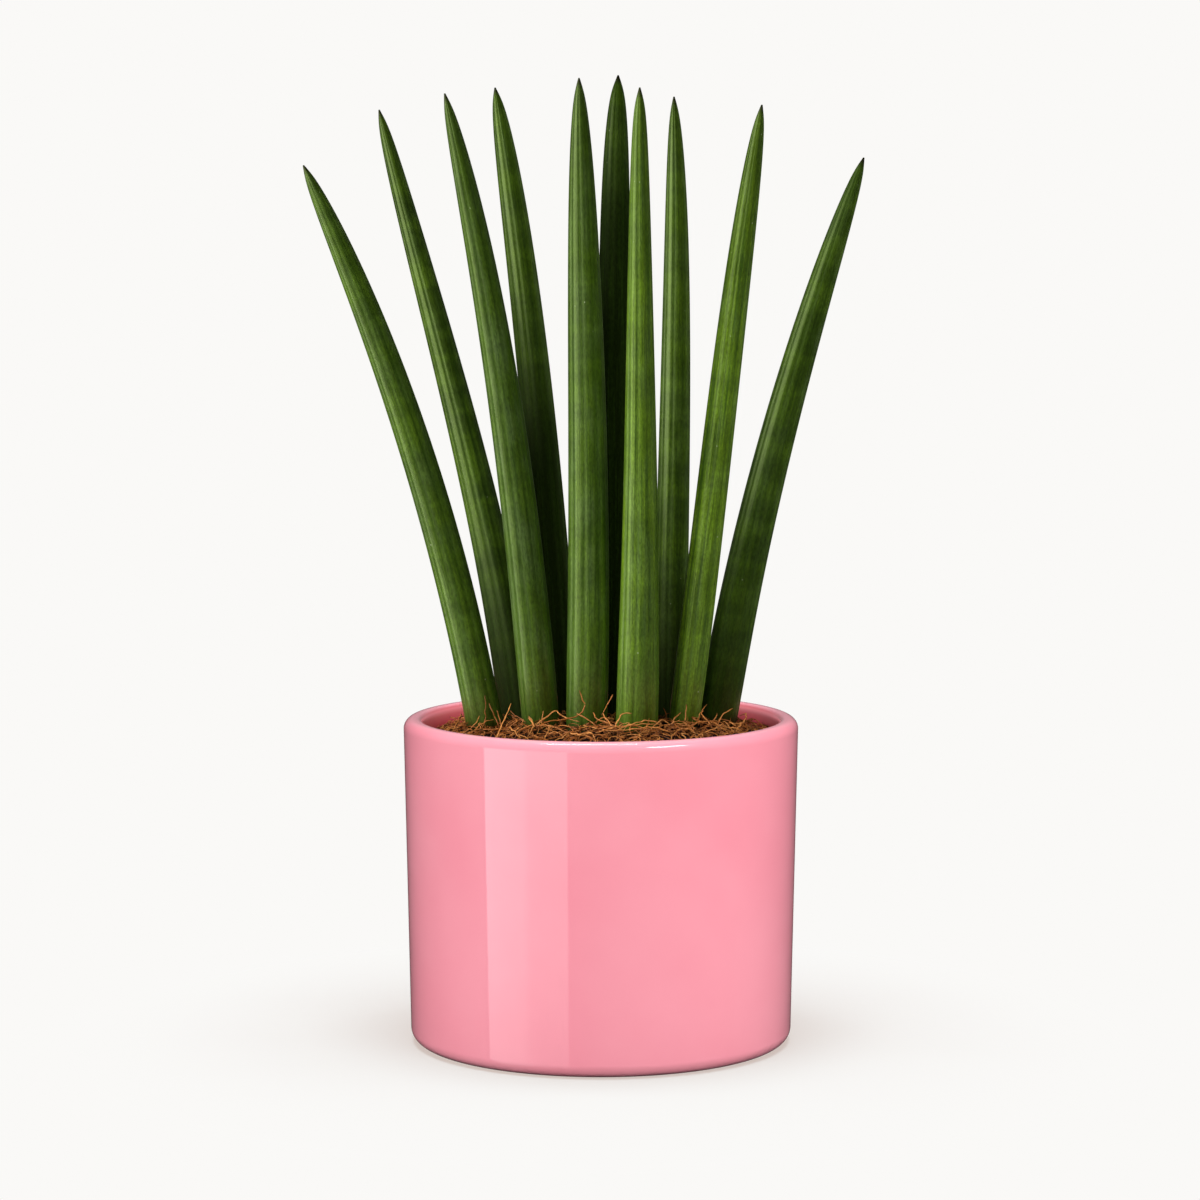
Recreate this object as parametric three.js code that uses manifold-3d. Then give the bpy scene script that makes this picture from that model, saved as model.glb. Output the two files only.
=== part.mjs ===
// Cylindrical snake plant in a glazed pot.
//
// Ten round, fluted leaves stand in plain holes in potting mix, under a tangle of coir fibre,
// in a straight-sided pot. Millimetres, +Z up. The origin is the centre of the pot's underside,
// -Y is the front and +X the right-hand side.

import * as THREE from 'three';
import { mergeVertices } from 'three/addons/utils/BufferGeometryUtils.js';
import Module from 'manifold-3d';

const wasm = await Module();
wasm.setup();

// ---- driving dimensions -----------------------------------------------------------------

const GAP = 0.3; // clearance between pieces that touch
const CUT_TOLERANCE = 0.06; // edges shorter than this close up when solids are joined or cut

// Pot: a slightly tapered cylinder of even wall.
const POT_HEIGHT = 124.5;
const POT_TOP_RADIUS = 75;
const POT_FOOT_RADIUS = 72.5;
const POT_WALL = 7.3;
const POT_FLOOR = 8;
const RIM_OUTER_ROUND = 4;
const RIM_INNER_ROUND = 2.5;
const FOOT_ROUND = 5.5;
const FLOOR_ROUND = 6;
const POT_SEGMENTS = 60;

// Potting mix and the coir that covers it.
const SOIL_TOP = 112;
const SOIL_SEGMENTS = 40;
const COIR_CROWN = 125; // height of the coir on the pot's axis
const COIR_DROP = 8; // how far it falls from there to the wall
const COIR_FALL_POWER = 4;
const COIR_LUMP = 0.8; // height of its lumps
const COIR_SEGMENTS = 40;
const COIR_RINGS = 6;

// Coir fibres, thicker than life so that they are solid.
const FIBRE_RADIUS = 1.1;
const FIBRE_END_RADIUS = 0.8;
const FIBRE_SIDES = 3;
const FIBRE_SEGMENTS = 3;
const FIBRE_SINK = 1.6; // how deep its ends go in
const FIBRE_COUNT = 84;
const FIBRE_LENGTH = [22, 36];
const FIBRE_BOW = 5; // how far a fibre bends sideways
const FIBRE_CREST = [0.9, 1.9]; // how far its middle stands out of the coir
const FIBRE_INSET = 3; // how far the outermost fibres' middles stay from the wall

// Stray fibres round each leaf.
const STRAYS_PER_LEAF = 2;
const STRAY_HEIGHT = [3, 8];
const STRAY_CLEARANCE = 2; // from the leaf's side to the stray's root
const STRAY_SPREAD = 1.4; // how far it moves outwards at each of its points
const STRAY_TURN = 0.28; // how far it goes round the leaf at each point, in radians
const SEED = 3;

// Leaves. A leaf's length is measured from its foot, at the level of the coir, to its tip.
const FOOT_HEIGHT = 122;
const FOOT_PINCH = 0.4; // how much narrower a leaf is at its foot
const PINCH_SHARE = 0.15; // share of its length over which it narrows
const LEAF_SIDES = 18;
const LEAF_FLUTES = 9;
const FLUTE_DEPTH = 0.045; // share of the leaf's radius
const CHANNEL_DEPTH = 0.1; // extra depth of the channel on the inner side, at the foot
const BLADE_RINGS = 12;
const TIP_CROWDING = 1.5; // above 1, rings draw together towards the tip
const TIP_RADIUS = 0.3;
const TAPER_POWER = 0.65;
const BUTT_DEPTH = 28; // length below the coir
const BUTT_RINGS = 2;
const BUTT_LEAN = 0.3; // share of the leaf's slope that its buried end keeps
const BUTT_TAPER = 0.12; // how much narrower the buried end is
const CHANNEL_FADE = 4; // above 1, the channel dies out sooner above the foot
const SLEEVE_SIDES = 12;
const SLEEVE_REACH = 0.3; // share of the leaf's length that its hole follows above the coir

// Each leaf: where it leaves the coir, its tip, how far the lower and the upper half bow to the
// right of the straight line between them, its full radius, how early it reaches that radius,
// and the share of its width that grows steadily from tip to foot instead.
const LEAVES = [
  { foot: [-44, -9], tip: [-109.5, -26, 332], bow: [9.5, 11], radius: 7.2, fullness: 2.5, flare: 0 },
  { foot: [-30, 4], tip: [-85, 34, 354], bow: [8.5, 1.5], radius: 8.4, fullness: 5.9, flare: 0.6 },
  { foot: [-22.5, -15], tip: [-56.5, -48, 357.5], bow: [5.5, 8], radius: 7.4, fullness: 2.2, flare: 0 },
  { foot: [-15, 15], tip: [-41, 50, 363], bow: [3, 6], radius: 7.5, fullness: 3.8, flare: 0.15 },
  { foot: [-5.5, -17], tip: [-8, -36, 363.5], bow: [3, 1.5], radius: 8.1, fullness: 2.5, flare: 0 },
  { foot: [4, 6], tip: [6.5, 30, 367], bow: [1.5, -2.5], radius: 6.8, fullness: 4.6, flare: 0 },
  { foot: [13.5, -20], tip: [14, -52, 359.5], bow: [2, 0.5], radius: 8.5, fullness: 8, flare: 0.65 },
  { foot: [26, 8], tip: [28, 34, 359], bow: [0, 3], radius: 6.7, fullness: 2.6, flare: 0 },
  { foot: [31, -9], tip: [59, -30, 354], bow: [0.5, -2.5], radius: 6.3, fullness: 3, flare: 0 },
  { foot: [44, 6], tip: [99.5, 14, 335.5], bow: [-7, -6.5], radius: 8.3, fullness: 2.7, flare: 0.2 },
];

// ---- materials --------------------------------------------------------------------------

const GLAZE = { color: 0xf9a2b3, roughness: 0.15, metalness: 0 };
const SOIL = { color: 0x3a2a1e, roughness: 0.95, metalness: 0 };
const COIR = { color: 0x9a6236, roughness: 0.9, metalness: 0 };
const LEAF = { color: 0x4d7a3a, roughness: 0.5, metalness: 0 };

// ---- helpers ----------------------------------------------------------------------------

/** A repeatable stream of numbers from 0 to 1. */
function seededRandom(seed) {
  let state = seed;
  return () => {
    state = (Math.imul(state, 1664525) + 1013904223) >>> 0;
    return state / 2 ** 32;
  };
}

/** A value between low and high, for a share from 0 to 1. */
function between([low, high], share) {
  return low + (high - low) * share;
}

/** A three.js geometry as a manifold solid. */
function solidOf(geometry) {
  const bare = geometry.clone();
  bare.deleteAttribute('normal');
  bare.deleteAttribute('uv');
  const merged = mergeVertices(bare);
  const vertProperties = new Float32Array(merged.attributes.position.array);
  const triVerts = new Uint32Array(merged.index.array);
  const mesh = new wasm.Mesh({ numProp: 3, vertProperties, triVerts, tolerance: CUT_TOLERANCE });
  return new wasm.Manifold(mesh);
}

/** A manifold solid as a three.js geometry. */
function geometryOf(solid) {
  const { vertProperties, triVerts } = solid.getMesh();
  const geometry = new THREE.BufferGeometry();
  geometry.setAttribute('position', new THREE.BufferAttribute(vertProperties, 3));
  geometry.setIndex(new THREE.BufferAttribute(triVerts, 1));
  geometry.computeVertexNormals();
  return geometry;
}

/** The largest of a solid's separate bodies, which drops the scraps that a cut leaves. */
function largestBody(solid) {
  const bodies = solid.decompose();
  return bodies.reduce((best, body) => (body.volume() > best.volume() ? body : best));
}

/** A named mesh with its own material. */
function piece(name, geometry, look) {
  const mesh = new THREE.Mesh(geometry, new THREE.MeshStandardMaterial(look));
  mesh.name = name;
  return mesh;
}

/** A profile of (radius, height) points turned about the Z axis. */
function turned(profile, segments) {
  return new THREE.LatheGeometry(profile, segments).rotateX(Math.PI / 2);
}

/**
 * A closed tube carried along stations, each with a centre, a direction and a radius that may
 * depend on the angle. Angle 0 points right (+X) and a quarter turn points to the front (-Y).
 * It starts as an upright unit cylinder, whose rings are then moved to the stations.
 */
function tubeAlong(stations, sides) {
  const geometry = new THREE.CylinderGeometry(1, 1, 1, sides, stations.length - 1);
  const position = geometry.attributes.position;
  const local = new THREE.Vector3();
  const depthAxis = new THREE.Vector3(0, 1, 0);
  for (let i = 0; i < position.count; i += 1) {
    local.fromBufferAttribute(position, i);
    const share = local.y + 0.5;
    const station = stations[Math.round(share * (stations.length - 1))];
    const right = depthAxis.clone().cross(station.direction).normalize();
    const front = right.clone().cross(station.direction);
    const angle = Math.atan2(local.z, local.x);
    const reach = Math.hypot(local.x, local.z) * station.radius(angle);
    const placed = station.centre.clone();
    placed.addScaledVector(right, reach * Math.cos(angle));
    placed.addScaledVector(front, reach * Math.sin(angle));
    position.setXYZ(i, placed.x, placed.y, placed.z);
  }
  return geometry;
}

// ---- pot --------------------------------------------------------------------------------

const POT_LEAN = Math.atan((POT_TOP_RADIUS - POT_FOOT_RADIUS) / POT_HEIGHT);

/** The pot's outer radius at a height. */
function outerRadius(z) {
  return POT_FOOT_RADIUS + z * Math.tan(POT_LEAN);
}

/** The pot's inner radius at a height. */
function innerRadius(z) {
  return outerRadius(z) - POT_WALL;
}

/** The pot: foot, outer wall, rounded rim, inner wall and floor, turned as one profile. */
function makePot() {
  const slant = 1 / Math.cos(POT_LEAN);
  const quarter = Math.PI / 2;
  const rimOuterZ = POT_HEIGHT - RIM_OUTER_ROUND;
  const rimInnerZ = POT_HEIGHT - RIM_INNER_ROUND;
  const floorZ = POT_FLOOR + FLOOR_ROUND;
  const footX = outerRadius(FOOT_ROUND) - FOOT_ROUND * slant;
  const rimOuterX = outerRadius(rimOuterZ) - RIM_OUTER_ROUND * slant;
  const rimInnerX = innerRadius(rimInnerZ) + RIM_INNER_ROUND * slant;
  const floorX = innerRadius(floorZ) - FLOOR_ROUND * slant;
  const outline = new THREE.Path();
  outline.moveTo(0, 0);
  outline.lineTo(footX, 0);
  outline.absarc(footX, FOOT_ROUND, FOOT_ROUND, -quarter, -POT_LEAN, false);
  outline.absarc(rimOuterX, rimOuterZ, RIM_OUTER_ROUND, -POT_LEAN, quarter, false);
  outline.absarc(rimInnerX, rimInnerZ, RIM_INNER_ROUND, quarter, Math.PI - POT_LEAN, false);
  outline.absarc(floorX, floorZ, FLOOR_ROUND, -POT_LEAN, -quarter, true);
  outline.lineTo(0, POT_FLOOR);
  const arcDivisions = 2;
  return piece('pot', turned(outline.getPoints(arcDivisions), POT_SEGMENTS), GLAZE);
}

// ---- leaves -----------------------------------------------------------------------------

/** A leaf's centre line above the coir. */
function bladeCurve({ foot, tip, bow }) {
  const start = new THREE.Vector3(foot[0], foot[1], FOOT_HEIGHT);
  const end = new THREE.Vector3(...tip);
  const lower = start.clone().lerp(end, 1 / 3);
  const upper = start.clone().lerp(end, 2 / 3);
  lower.x += bow[0];
  upper.x += bow[1];
  return new THREE.CubicBezierCurve3(start, lower, upper, end);
}

/** A leaf's centre line below the coir, which turns upright as it goes down. */
function buttCurve(blade) {
  const start = blade.getPoint(0);
  const slope = blade.getTangent(0);
  slope.multiplyScalar(BUTT_DEPTH / slope.z);
  const end = start.clone();
  end.x -= slope.x * BUTT_LEAN;
  end.y -= slope.y * BUTT_LEAN;
  end.z -= BUTT_DEPTH;
  const nearStart = start.clone().addScaledVector(slope, -1 / 3);
  const nearEnd = end.clone();
  nearEnd.z += BUTT_DEPTH / 3;
  return new THREE.CubicBezierCurve3(end, nearEnd, nearStart, start);
}

/**
 * A leaf's radius at a share of its length from the tip. Part of the width comes early and then
 * levels off, and the rest (the flare) grows steadily. The foot is a little pinched.
 */
function bladeRadius(leaf, share) {
  const rise = 1 - Math.exp(-leaf.fullness * share ** TAPER_POWER);
  const early = (rise / (1 - Math.exp(-leaf.fullness))) * (1 - leaf.flare);
  const pinch = FOOT_PINCH * Math.max(0, (share - 1 + PINCH_SHARE) / PINCH_SHARE) ** 2;
  return TIP_RADIUS + (leaf.radius - TIP_RADIUS) * (early + leaf.flare * share) - pinch;
}

/**
 * The leaf's stations from its buried end to its tip. Each has its centre, its direction, its
 * mean radius and how much of the foot's channel shows there.
 */
function leafStations(leaf) {
  const blade = bladeCurve(leaf);
  const butt = buttCurve(blade);
  const stations = [];
  for (let i = 0; i < BUTT_RINGS; i += 1) {
    const along = i / BUTT_RINGS;
    stations.push({
      centre: butt.getPoint(along),
      direction: butt.getTangent(along),
      size: bladeRadius(leaf, 1) * (1 - BUTT_TAPER * (1 - along) ** 2),
      channel: 1,
      share: 1,
    });
  }
  for (let i = BLADE_RINGS; i >= 0; i -= 1) {
    const share = (i / BLADE_RINGS) ** TIP_CROWDING;
    stations.push({
      centre: blade.getPointAt(1 - share),
      direction: blade.getTangentAt(1 - share),
      size: bladeRadius(leaf, share),
      channel: share ** CHANNEL_FADE,
      share,
    });
  }
  return stations;
}

/** A fluted leaf, with a deeper channel on the side that faces the middle of the plant. */
function makeLeaf(leaf, name) {
  const inward = Math.atan2(leaf.foot[1], -leaf.foot[0]);
  const stations = leafStations(leaf).map(({ centre, direction, size, channel }) => ({
    centre,
    direction,
    radius: (angle) => {
      const groove = (1 - Math.cos(LEAF_FLUTES * angle)) / 2;
      const facing = Math.max(0, Math.cos(angle - inward)) ** LEAF_FLUTES;
      return size * (1 - FLUTE_DEPTH * groove - CHANNEL_DEPTH * channel * facing);
    },
  }));
  return piece(name, tubeAlong(stations, LEAF_SIDES), LEAF);
}

/** The room that a leaf needs in the soil and the coir: a plain round hole, clear all round. */
function makeSleeve(leaf) {
  const around = 1 / Math.cos(Math.PI / SLEEVE_SIDES);
  const stations = leafStations(leaf).filter(({ share }) => share > 1 - SLEEVE_REACH);
  const rings = stations.map(({ centre, direction, size }) => ({
    centre,
    direction,
    radius: () => (size + GAP) * around,
  }));
  rings[0].centre = rings[0].centre.clone().addScaledVector(rings[0].direction, -GAP);
  return solidOf(tubeAlong(rings, SLEEVE_SIDES));
}

// ---- potting mix and coir ---------------------------------------------------------------

/** The potting mix: it fills the pot below the coir, with a plain hole for each leaf. */
function makeSoil(sleeves) {
  const slant = 1 / Math.cos(POT_LEAN);
  const centreZ = POT_FLOOR + FLOOR_ROUND;
  const centreX = innerRadius(centreZ) - FLOOR_ROUND * slant;
  const outline = new THREE.Path();
  outline.moveTo(0, POT_FLOOR + GAP);
  outline.lineTo(centreX, POT_FLOOR + GAP);
  outline.absarc(centreX, centreZ, FLOOR_ROUND - GAP, -Math.PI / 2, -POT_LEAN, false);
  outline.lineTo(innerRadius(SOIL_TOP) - GAP * slant, SOIL_TOP);
  outline.lineTo(0, SOIL_TOP);
  const arcDivisions = 1;
  const fill = solidOf(turned(outline.getPoints(arcDivisions), SOIL_SEGMENTS));
  const holed = sleeves.reduce((solid, sleeve) => solid.subtract(sleeve), fill);
  return piece('potting_mix', geometryOf(holed), SOIL);
}

/** The coir's height: a low crown that falls away to the wall, with soft lumps. */
function coirHeight(x, y) {
  const fall = (Math.hypot(x, y) / innerRadius(SOIL_TOP)) ** COIR_FALL_POWER;
  const lumps = Math.sin(x / 6 + y / 11) * Math.cos(y / 7 - x / 17);
  return COIR_CROWN - COIR_DROP * fall + COIR_LUMP * lumps;
}

/** The felted bed of coir, with a lumpy top. */
function makeBed() {
  const base = SOIL_TOP + GAP;
  const edge = innerRadius(base) - GAP;
  const profile = [new THREE.Vector2(0, base), new THREE.Vector2(edge, base)];
  for (let i = COIR_RINGS; i >= 0; i -= 1) {
    profile.push(new THREE.Vector2((edge * i) / COIR_RINGS, COIR_CROWN));
  }
  const geometry = turned(profile, COIR_SEGMENTS);
  const position = geometry.attributes.position;
  for (let i = 0; i < position.count; i += 1) {
    const isTop = position.getZ(i) > base + 1;
    if (isTop) {
      position.setZ(i, coirHeight(position.getX(i), position.getY(i)));
    }
  }
  return solidOf(geometry);
}

/** One fibre through a list of points, thinner at both ends. */
function makeFibre(points) {
  const curve = new THREE.CatmullRomCurve3(points);
  const stations = [];
  for (let i = 0; i <= FIBRE_SEGMENTS; i += 1) {
    const along = i / FIBRE_SEGMENTS;
    const size = between([FIBRE_END_RADIUS, FIBRE_RADIUS], Math.sin(Math.PI * along));
    stations.push({
      centre: curve.getPointAt(along),
      direction: curve.getTangentAt(along),
      radius: () => size,
    });
  }
  return solidOf(tubeAlong(stations, FIBRE_SIDES));
}

/** A point at a lift above the coir, drawn in to stay clear of the pot's wall. */
function onCoir(x, y, lift) {
  const limit = innerRadius(SOIL_TOP) - GAP - 2 * FIBRE_RADIUS;
  const inset = Math.min(1, limit / Math.hypot(x, y));
  return new THREE.Vector3(x * inset, y * inset, coirHeight(x * inset, y * inset) + lift);
}

/** A fibre lying on the coir: a low arch that bends sideways, with its ends sunk. */
function makeLyingFibre(middle, random) {
  const heading = random() * Math.PI;
  const along = new THREE.Vector2(Math.cos(heading), Math.sin(heading));
  const aside = new THREE.Vector2(-along.y, along.x);
  const length = between(FIBRE_LENGTH, random());
  const bow = between([-FIBRE_BOW, FIBRE_BOW], random());
  const steps = [
    { forward: -0.5, sideways: 0, lift: -FIBRE_SINK },
    { forward: -0.2, sideways: bow, lift: between(FIBRE_CREST, random()) },
    { forward: 0.2, sideways: bow / 2, lift: between(FIBRE_CREST, random()) },
    { forward: 0.5, sideways: -bow, lift: -FIBRE_SINK },
  ];
  const points = steps.map(({ forward, sideways, lift }) => {
    const spot = middle.clone();
    spot.addScaledVector(along, forward * length);
    spot.addScaledVector(aside, sideways);
    return onCoir(spot.x, spot.y, lift);
  });
  return makeFibre(points);
}

/** The lying fibres, whose middles are spread evenly over the coir in a sunflower's order. */
function makeLyingFibres(random) {
  const goldenAngle = Math.PI * (3 - Math.sqrt(5));
  const reach = innerRadius(SOIL_TOP) - FIBRE_INSET;
  const fibres = [];
  for (let i = 0; i < FIBRE_COUNT; i += 1) {
    const radius = reach * Math.sqrt((i + 0.5) / FIBRE_COUNT);
    const bearing = i * goldenAngle;
    const middle = new THREE.Vector2(radius * Math.cos(bearing), radius * Math.sin(bearing));
    fibres.push(makeLyingFibre(middle, random));
  }
  return fibres;
}

/** Stray fibres that rise beside a leaf and curl over. */
function makeStrays(leaf, random) {
  const strays = [];
  for (let i = 0; i < STRAYS_PER_LEAF; i += 1) {
    const bearing = ((i + random()) / STRAYS_PER_LEAF) * Math.PI * 2;
    const height = between(STRAY_HEIGHT, random());
    const turn = random() < 0.5 ? -STRAY_TURN : STRAY_TURN;
    const lifts = [-FIBRE_SINK, height * 0.5, height, height * 0.8];
    const points = lifts.map((lift, step) => {
      const distance = leaf.radius + STRAY_CLEARANCE + step * STRAY_SPREAD;
      const x = leaf.foot[0] + distance * Math.cos(bearing + step * turn);
      const y = leaf.foot[1] + distance * Math.sin(bearing + step * turn);
      return onCoir(x, y, lift);
    });
    strays.push(makeFibre(points));
  }
  return strays;
}

/** The coir: its bed and all its fibres fused into one body, cut clear of the leaves. */
function makeCoir(sleeves) {
  const random = seededRandom(SEED);
  const fibres = makeLyingFibres(random);
  LEAVES.forEach((leaf) => fibres.push(...makeStrays(leaf, random)));
  const tangle = fibres.reduce((solid, fibre) => solid.add(fibre), makeBed());
  const cut = sleeves.reduce((solid, sleeve) => solid.subtract(sleeve), tangle);
  return piece('coir_mulch', geometryOf(largestBody(cut)), COIR);
}

// ---- assembly ---------------------------------------------------------------------------

const sleeves = LEAVES.map(makeSleeve);
const group = new THREE.Group();
group.add(makePot());
group.add(makeSoil(sleeves));
group.add(makeCoir(sleeves));
LEAVES.forEach((leaf, index) => {
  group.add(makeLeaf(leaf, `leaf_${String(index + 1).padStart(2, '0')}`));
});

export default group;
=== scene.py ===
"""A cylindrical snake plant in a glazed pot: fine meshes, finishes, stage, lights and camera.

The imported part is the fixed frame, and the pieces here stand for its nodes: the pot, ten round
fluted leaves, and the coir as a felted bed with fibres on it. Only the potting mix stays as it
is packed. Sizes that a maker would measure are in millimetres, and MM turns them into the
scene's metres. +Z is up, the front is -Y, +X is the right-hand side, and the origin is the
middle of the pot's underside.
"""

from __future__ import annotations

import logging
import math
from collections.abc import Mapping, Sequence
from dataclasses import dataclass, field
from enum import Enum
from typing import Any

import bpy
import numpy as np
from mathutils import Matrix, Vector


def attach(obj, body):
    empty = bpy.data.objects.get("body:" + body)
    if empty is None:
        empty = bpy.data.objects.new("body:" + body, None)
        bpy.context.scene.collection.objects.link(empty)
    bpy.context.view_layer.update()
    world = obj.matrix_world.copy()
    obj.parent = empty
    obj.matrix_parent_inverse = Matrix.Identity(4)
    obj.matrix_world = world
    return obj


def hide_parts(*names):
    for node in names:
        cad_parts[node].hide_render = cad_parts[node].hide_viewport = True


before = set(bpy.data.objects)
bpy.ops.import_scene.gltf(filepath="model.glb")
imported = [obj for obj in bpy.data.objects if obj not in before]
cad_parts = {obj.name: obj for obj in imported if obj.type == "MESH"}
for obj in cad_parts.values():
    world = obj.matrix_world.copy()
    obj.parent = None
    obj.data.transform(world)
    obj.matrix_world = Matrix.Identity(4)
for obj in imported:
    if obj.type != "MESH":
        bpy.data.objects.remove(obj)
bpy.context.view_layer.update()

MM = 0.001
BODY = "root"

Array = np.ndarray
Colour = tuple[float, float, float]
Point = tuple[float, float, float]
Span = tuple[float, float]

BLACK: Colour = (0.0, 0.0, 0.0)
WHITE: Colour = (1.0, 1.0, 1.0)
TINY = 1e-6

log = logging.getLogger("snake_plant")


# ---- shaders ----------------------------------------------------------------------------


class Wire:
    """An output socket that does sums, so that shader maths is written as expressions."""

    def __init__(self, graph: Graph, socket: bpy.types.NodeSocket) -> None:
        """Keeps the socket, and the graph that the nodes of its sums go into."""
        self.graph = graph
        self.socket = socket

    def __add__(self, other: Wire | float) -> Wire:
        """This value plus the other."""
        return self.graph.math("ADD", self, other)

    __radd__ = __add__

    def __sub__(self, other: Wire | float) -> Wire:
        """This value minus the other."""
        return self.graph.math("SUBTRACT", self, other)

    def __rsub__(self, other: Wire | float) -> Wire:
        """The other value minus this."""
        return self.graph.math("SUBTRACT", other, self)

    def __mul__(self, other: Wire | float) -> Wire:
        """This value times the other."""
        return self.graph.math("MULTIPLY", self, other)

    __rmul__ = __mul__

    def __pow__(self, power: float) -> Wire:
        """This value raised to a power."""
        return self.graph.math("POWER", self, power)

    def step(self, low: float, high: float) -> Wire:
        """A smooth step of this value.

        Args:
            low: The value at which the result is 0.
            high: The value at which the result is 1. It may be below low.

        Returns:
            The result, from 0 to 1.
        """
        node = self.graph.node(
            "ShaderNodeMapRange",
            {"interpolation_type": "SMOOTHSTEP"},
            {"Value": self, "From Min": low, "From Max": high},
        )
        return Wire(self.graph, node.outputs[0])

    def between(self, span: Span) -> Wire:
        """This value, from 0 to 1, spread from the span's first number to its last."""
        low, high = span
        return self * (high - low) + low


@dataclass(frozen=True)
class Pattern:
    """A noise pattern.

    Attributes:
        scale: How many lumps there are to one unit of the coordinates.
        detail: How many finer layers are added.
        rough: How strong the finer layers are.
        squeeze: What each coordinate is multiplied by first. Below 1 draws the lumps out.
    """

    scale: float
    detail: float = 2.0
    rough: float = 0.5
    squeeze: Point = (1.0, 1.0, 1.0)


class Graph:
    """The node tree of one material or world."""

    def __init__(self, tree: bpy.types.NodeTree) -> None:
        """Starts from an empty tree."""
        self.tree = tree
        tree.nodes.clear()

    def node(
        self,
        kind: str,
        settings: Mapping[str, Any] | None = None,
        inputs: Mapping[str | int, Any] | None = None,
    ) -> bpy.types.Node:
        """Adds a node.

        Args:
            kind: The node's type.
            settings: The node's own settings. The stops of a ramp are a list of
                (position, colour) under the name "stops".
            inputs: A value, a Wire or a socket for each input that isn't left as it is.

        Returns:
            The new node.
        """
        made = self.tree.nodes.new(kind)
        for name, value in (settings or {}).items():
            if name == "stops":
                self._set_stops(made, value)
            else:
                setattr(made, name, value)
        for name, value in (inputs or {}).items():
            source = value.socket if isinstance(value, Wire) else value
            if isinstance(source, bpy.types.NodeSocket):
                self.tree.links.new(source, made.inputs[name])
            else:
                made.inputs[name].default_value = source
        return made

    @staticmethod
    def _set_stops(ramp: bpy.types.Node, stops: Sequence[tuple[float, Colour]]) -> None:
        """Gives a ramp its stops, as (position, colour) from left to right."""
        elements = ramp.color_ramp.elements
        while len(elements) < len(stops):
            elements.new(0.5)
        for element, (position, colour) in zip(elements, stops):
            element.position = position
            element.color = rgba(colour)

    def math(self, operation: str, first: Wire | float, second: Wire | float) -> Wire:
        """Two numbers joined by a Math node.

        Args:
            operation: The Math node's operation.
            first: Its first number.
            second: Its second number.

        Returns:
            The result.
        """
        inputs = {0: first, 1: second}
        return Wire(self, self.node("ShaderNodeMath", {"operation": operation}, inputs).outputs[0])

    def mix(self, share: Wire | float, first: Any, second: Any) -> Wire:
        """Two colours mixed.

        Args:
            share: How much of the second colour there is, from 0 to 1.
            first: A colour, or a Wire that carries one.
            second: The same.

        Returns:
            The mixed colour.
        """
        ends = [rgba(end) if isinstance(end, tuple) else end for end in (first, second)]
        inputs = {0: share, 6: ends[0], 7: ends[1]}
        return Wire(self, self.node("ShaderNodeMix", {"data_type": "RGBA"}, inputs).outputs[2])

    def ramp(self, at: Wire, stops: Sequence[tuple[float, Colour]]) -> Wire:
        """A colour picked from a ramp.

        Args:
            at: The place on the ramp, from 0 to 1.
            stops: The ramp's stops, as (position, colour) from left to right.

        Returns:
            The colour.
        """
        return Wire(self, self.node("ShaderNodeValToRGB", {"stops": stops}, {0: at}).outputs[0])

    def scaled(self, vector: Wire, by: Point) -> Wire:
        """A vector with each part multiplied by its own number.

        Args:
            vector: The vector or the coordinates.
            by: The three numbers.

        Returns:
            The scaled vector.
        """
        settings = {"operation": "MULTIPLY"}
        node = self.node("ShaderNodeVectorMath", settings, {0: vector, 1: by})
        return Wire(self, node.outputs[0])

    def brightened(self, colour: Wire, by: Wire) -> Wire:
        """A colour with all three parts multiplied by one number.

        Args:
            colour: The colour.
            by: The number.

        Returns:
            The new colour.
        """
        settings = {"operation": "SCALE"}
        node = self.node("ShaderNodeVectorMath", settings, {"Vector": colour, "Scale": by})
        return Wire(self, node.outputs[0])

    def attribute(self, name: str) -> Wire:
        """A vector that is kept at the mesh's points under this name."""
        node = self.node("ShaderNodeAttribute", {"attribute_name": name})
        return Wire(self, node.outputs["Vector"])

    def place(self) -> Wire:
        """Object coordinates, which are the frame's own, in metres."""
        return Wire(self, self.node("ShaderNodeTexCoord").outputs["Object"])

    def parts(self, vector: Wire) -> tuple[Wire, Wire, Wire]:
        """The three parts of a vector as numbers."""
        node = self.node("ShaderNodeSeparateXYZ", {}, {0: vector})
        x, y, z = (Wire(self, output) for output in node.outputs)
        return x, y, z

    def noise(self, where: Wire, pattern: Pattern) -> Wire:
        """Soft noise, about even between 0 and 1.

        Args:
            where: The coordinates.
            pattern: The noise's scale, layers and squeeze.

        Returns:
            The noise as a number round 0.5.
        """
        if pattern.squeeze != Pattern.squeeze:
            where = self.scaled(where, pattern.squeeze)
        inputs = {
            "Vector": where,
            "Scale": pattern.scale,
            "Detail": pattern.detail,
            "Roughness": pattern.rough,
        }
        return Wire(self, self.node("ShaderNodeTexNoise", {}, inputs).outputs[0])

    def bump(self, height: Wire, distance: float, over: Wire | None = None) -> Wire:
        """A normal that follows a height.

        Args:
            height: The height, from 0 to 1.
            distance: What a height of 1 stands for, in metres.
            over: The normal of a coarser relief that this one lies on.

        Returns:
            The normal.
        """
        inputs = {"Height": height, "Distance": distance}
        if over is not None:
            inputs["Normal"] = over
        return Wire(self, self.node("ShaderNodeBump", {}, inputs).outputs[0])

    def surface(self, name: str, inputs: Mapping[str, Any]) -> None:
        """Ends a material with a Principled surface.

        Args:
            name: The surface node's label.
            inputs: Values and links of the surface's sockets.
        """
        self.cover(self.node("ShaderNodeBsdfPrincipled", {"label": name}, inputs))

    def cover(self, shader: bpy.types.Node) -> None:
        """Ends a material with a shader of any kind."""
        self.node("ShaderNodeOutputMaterial", {}, {"Surface": shader.outputs[0]})

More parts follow.
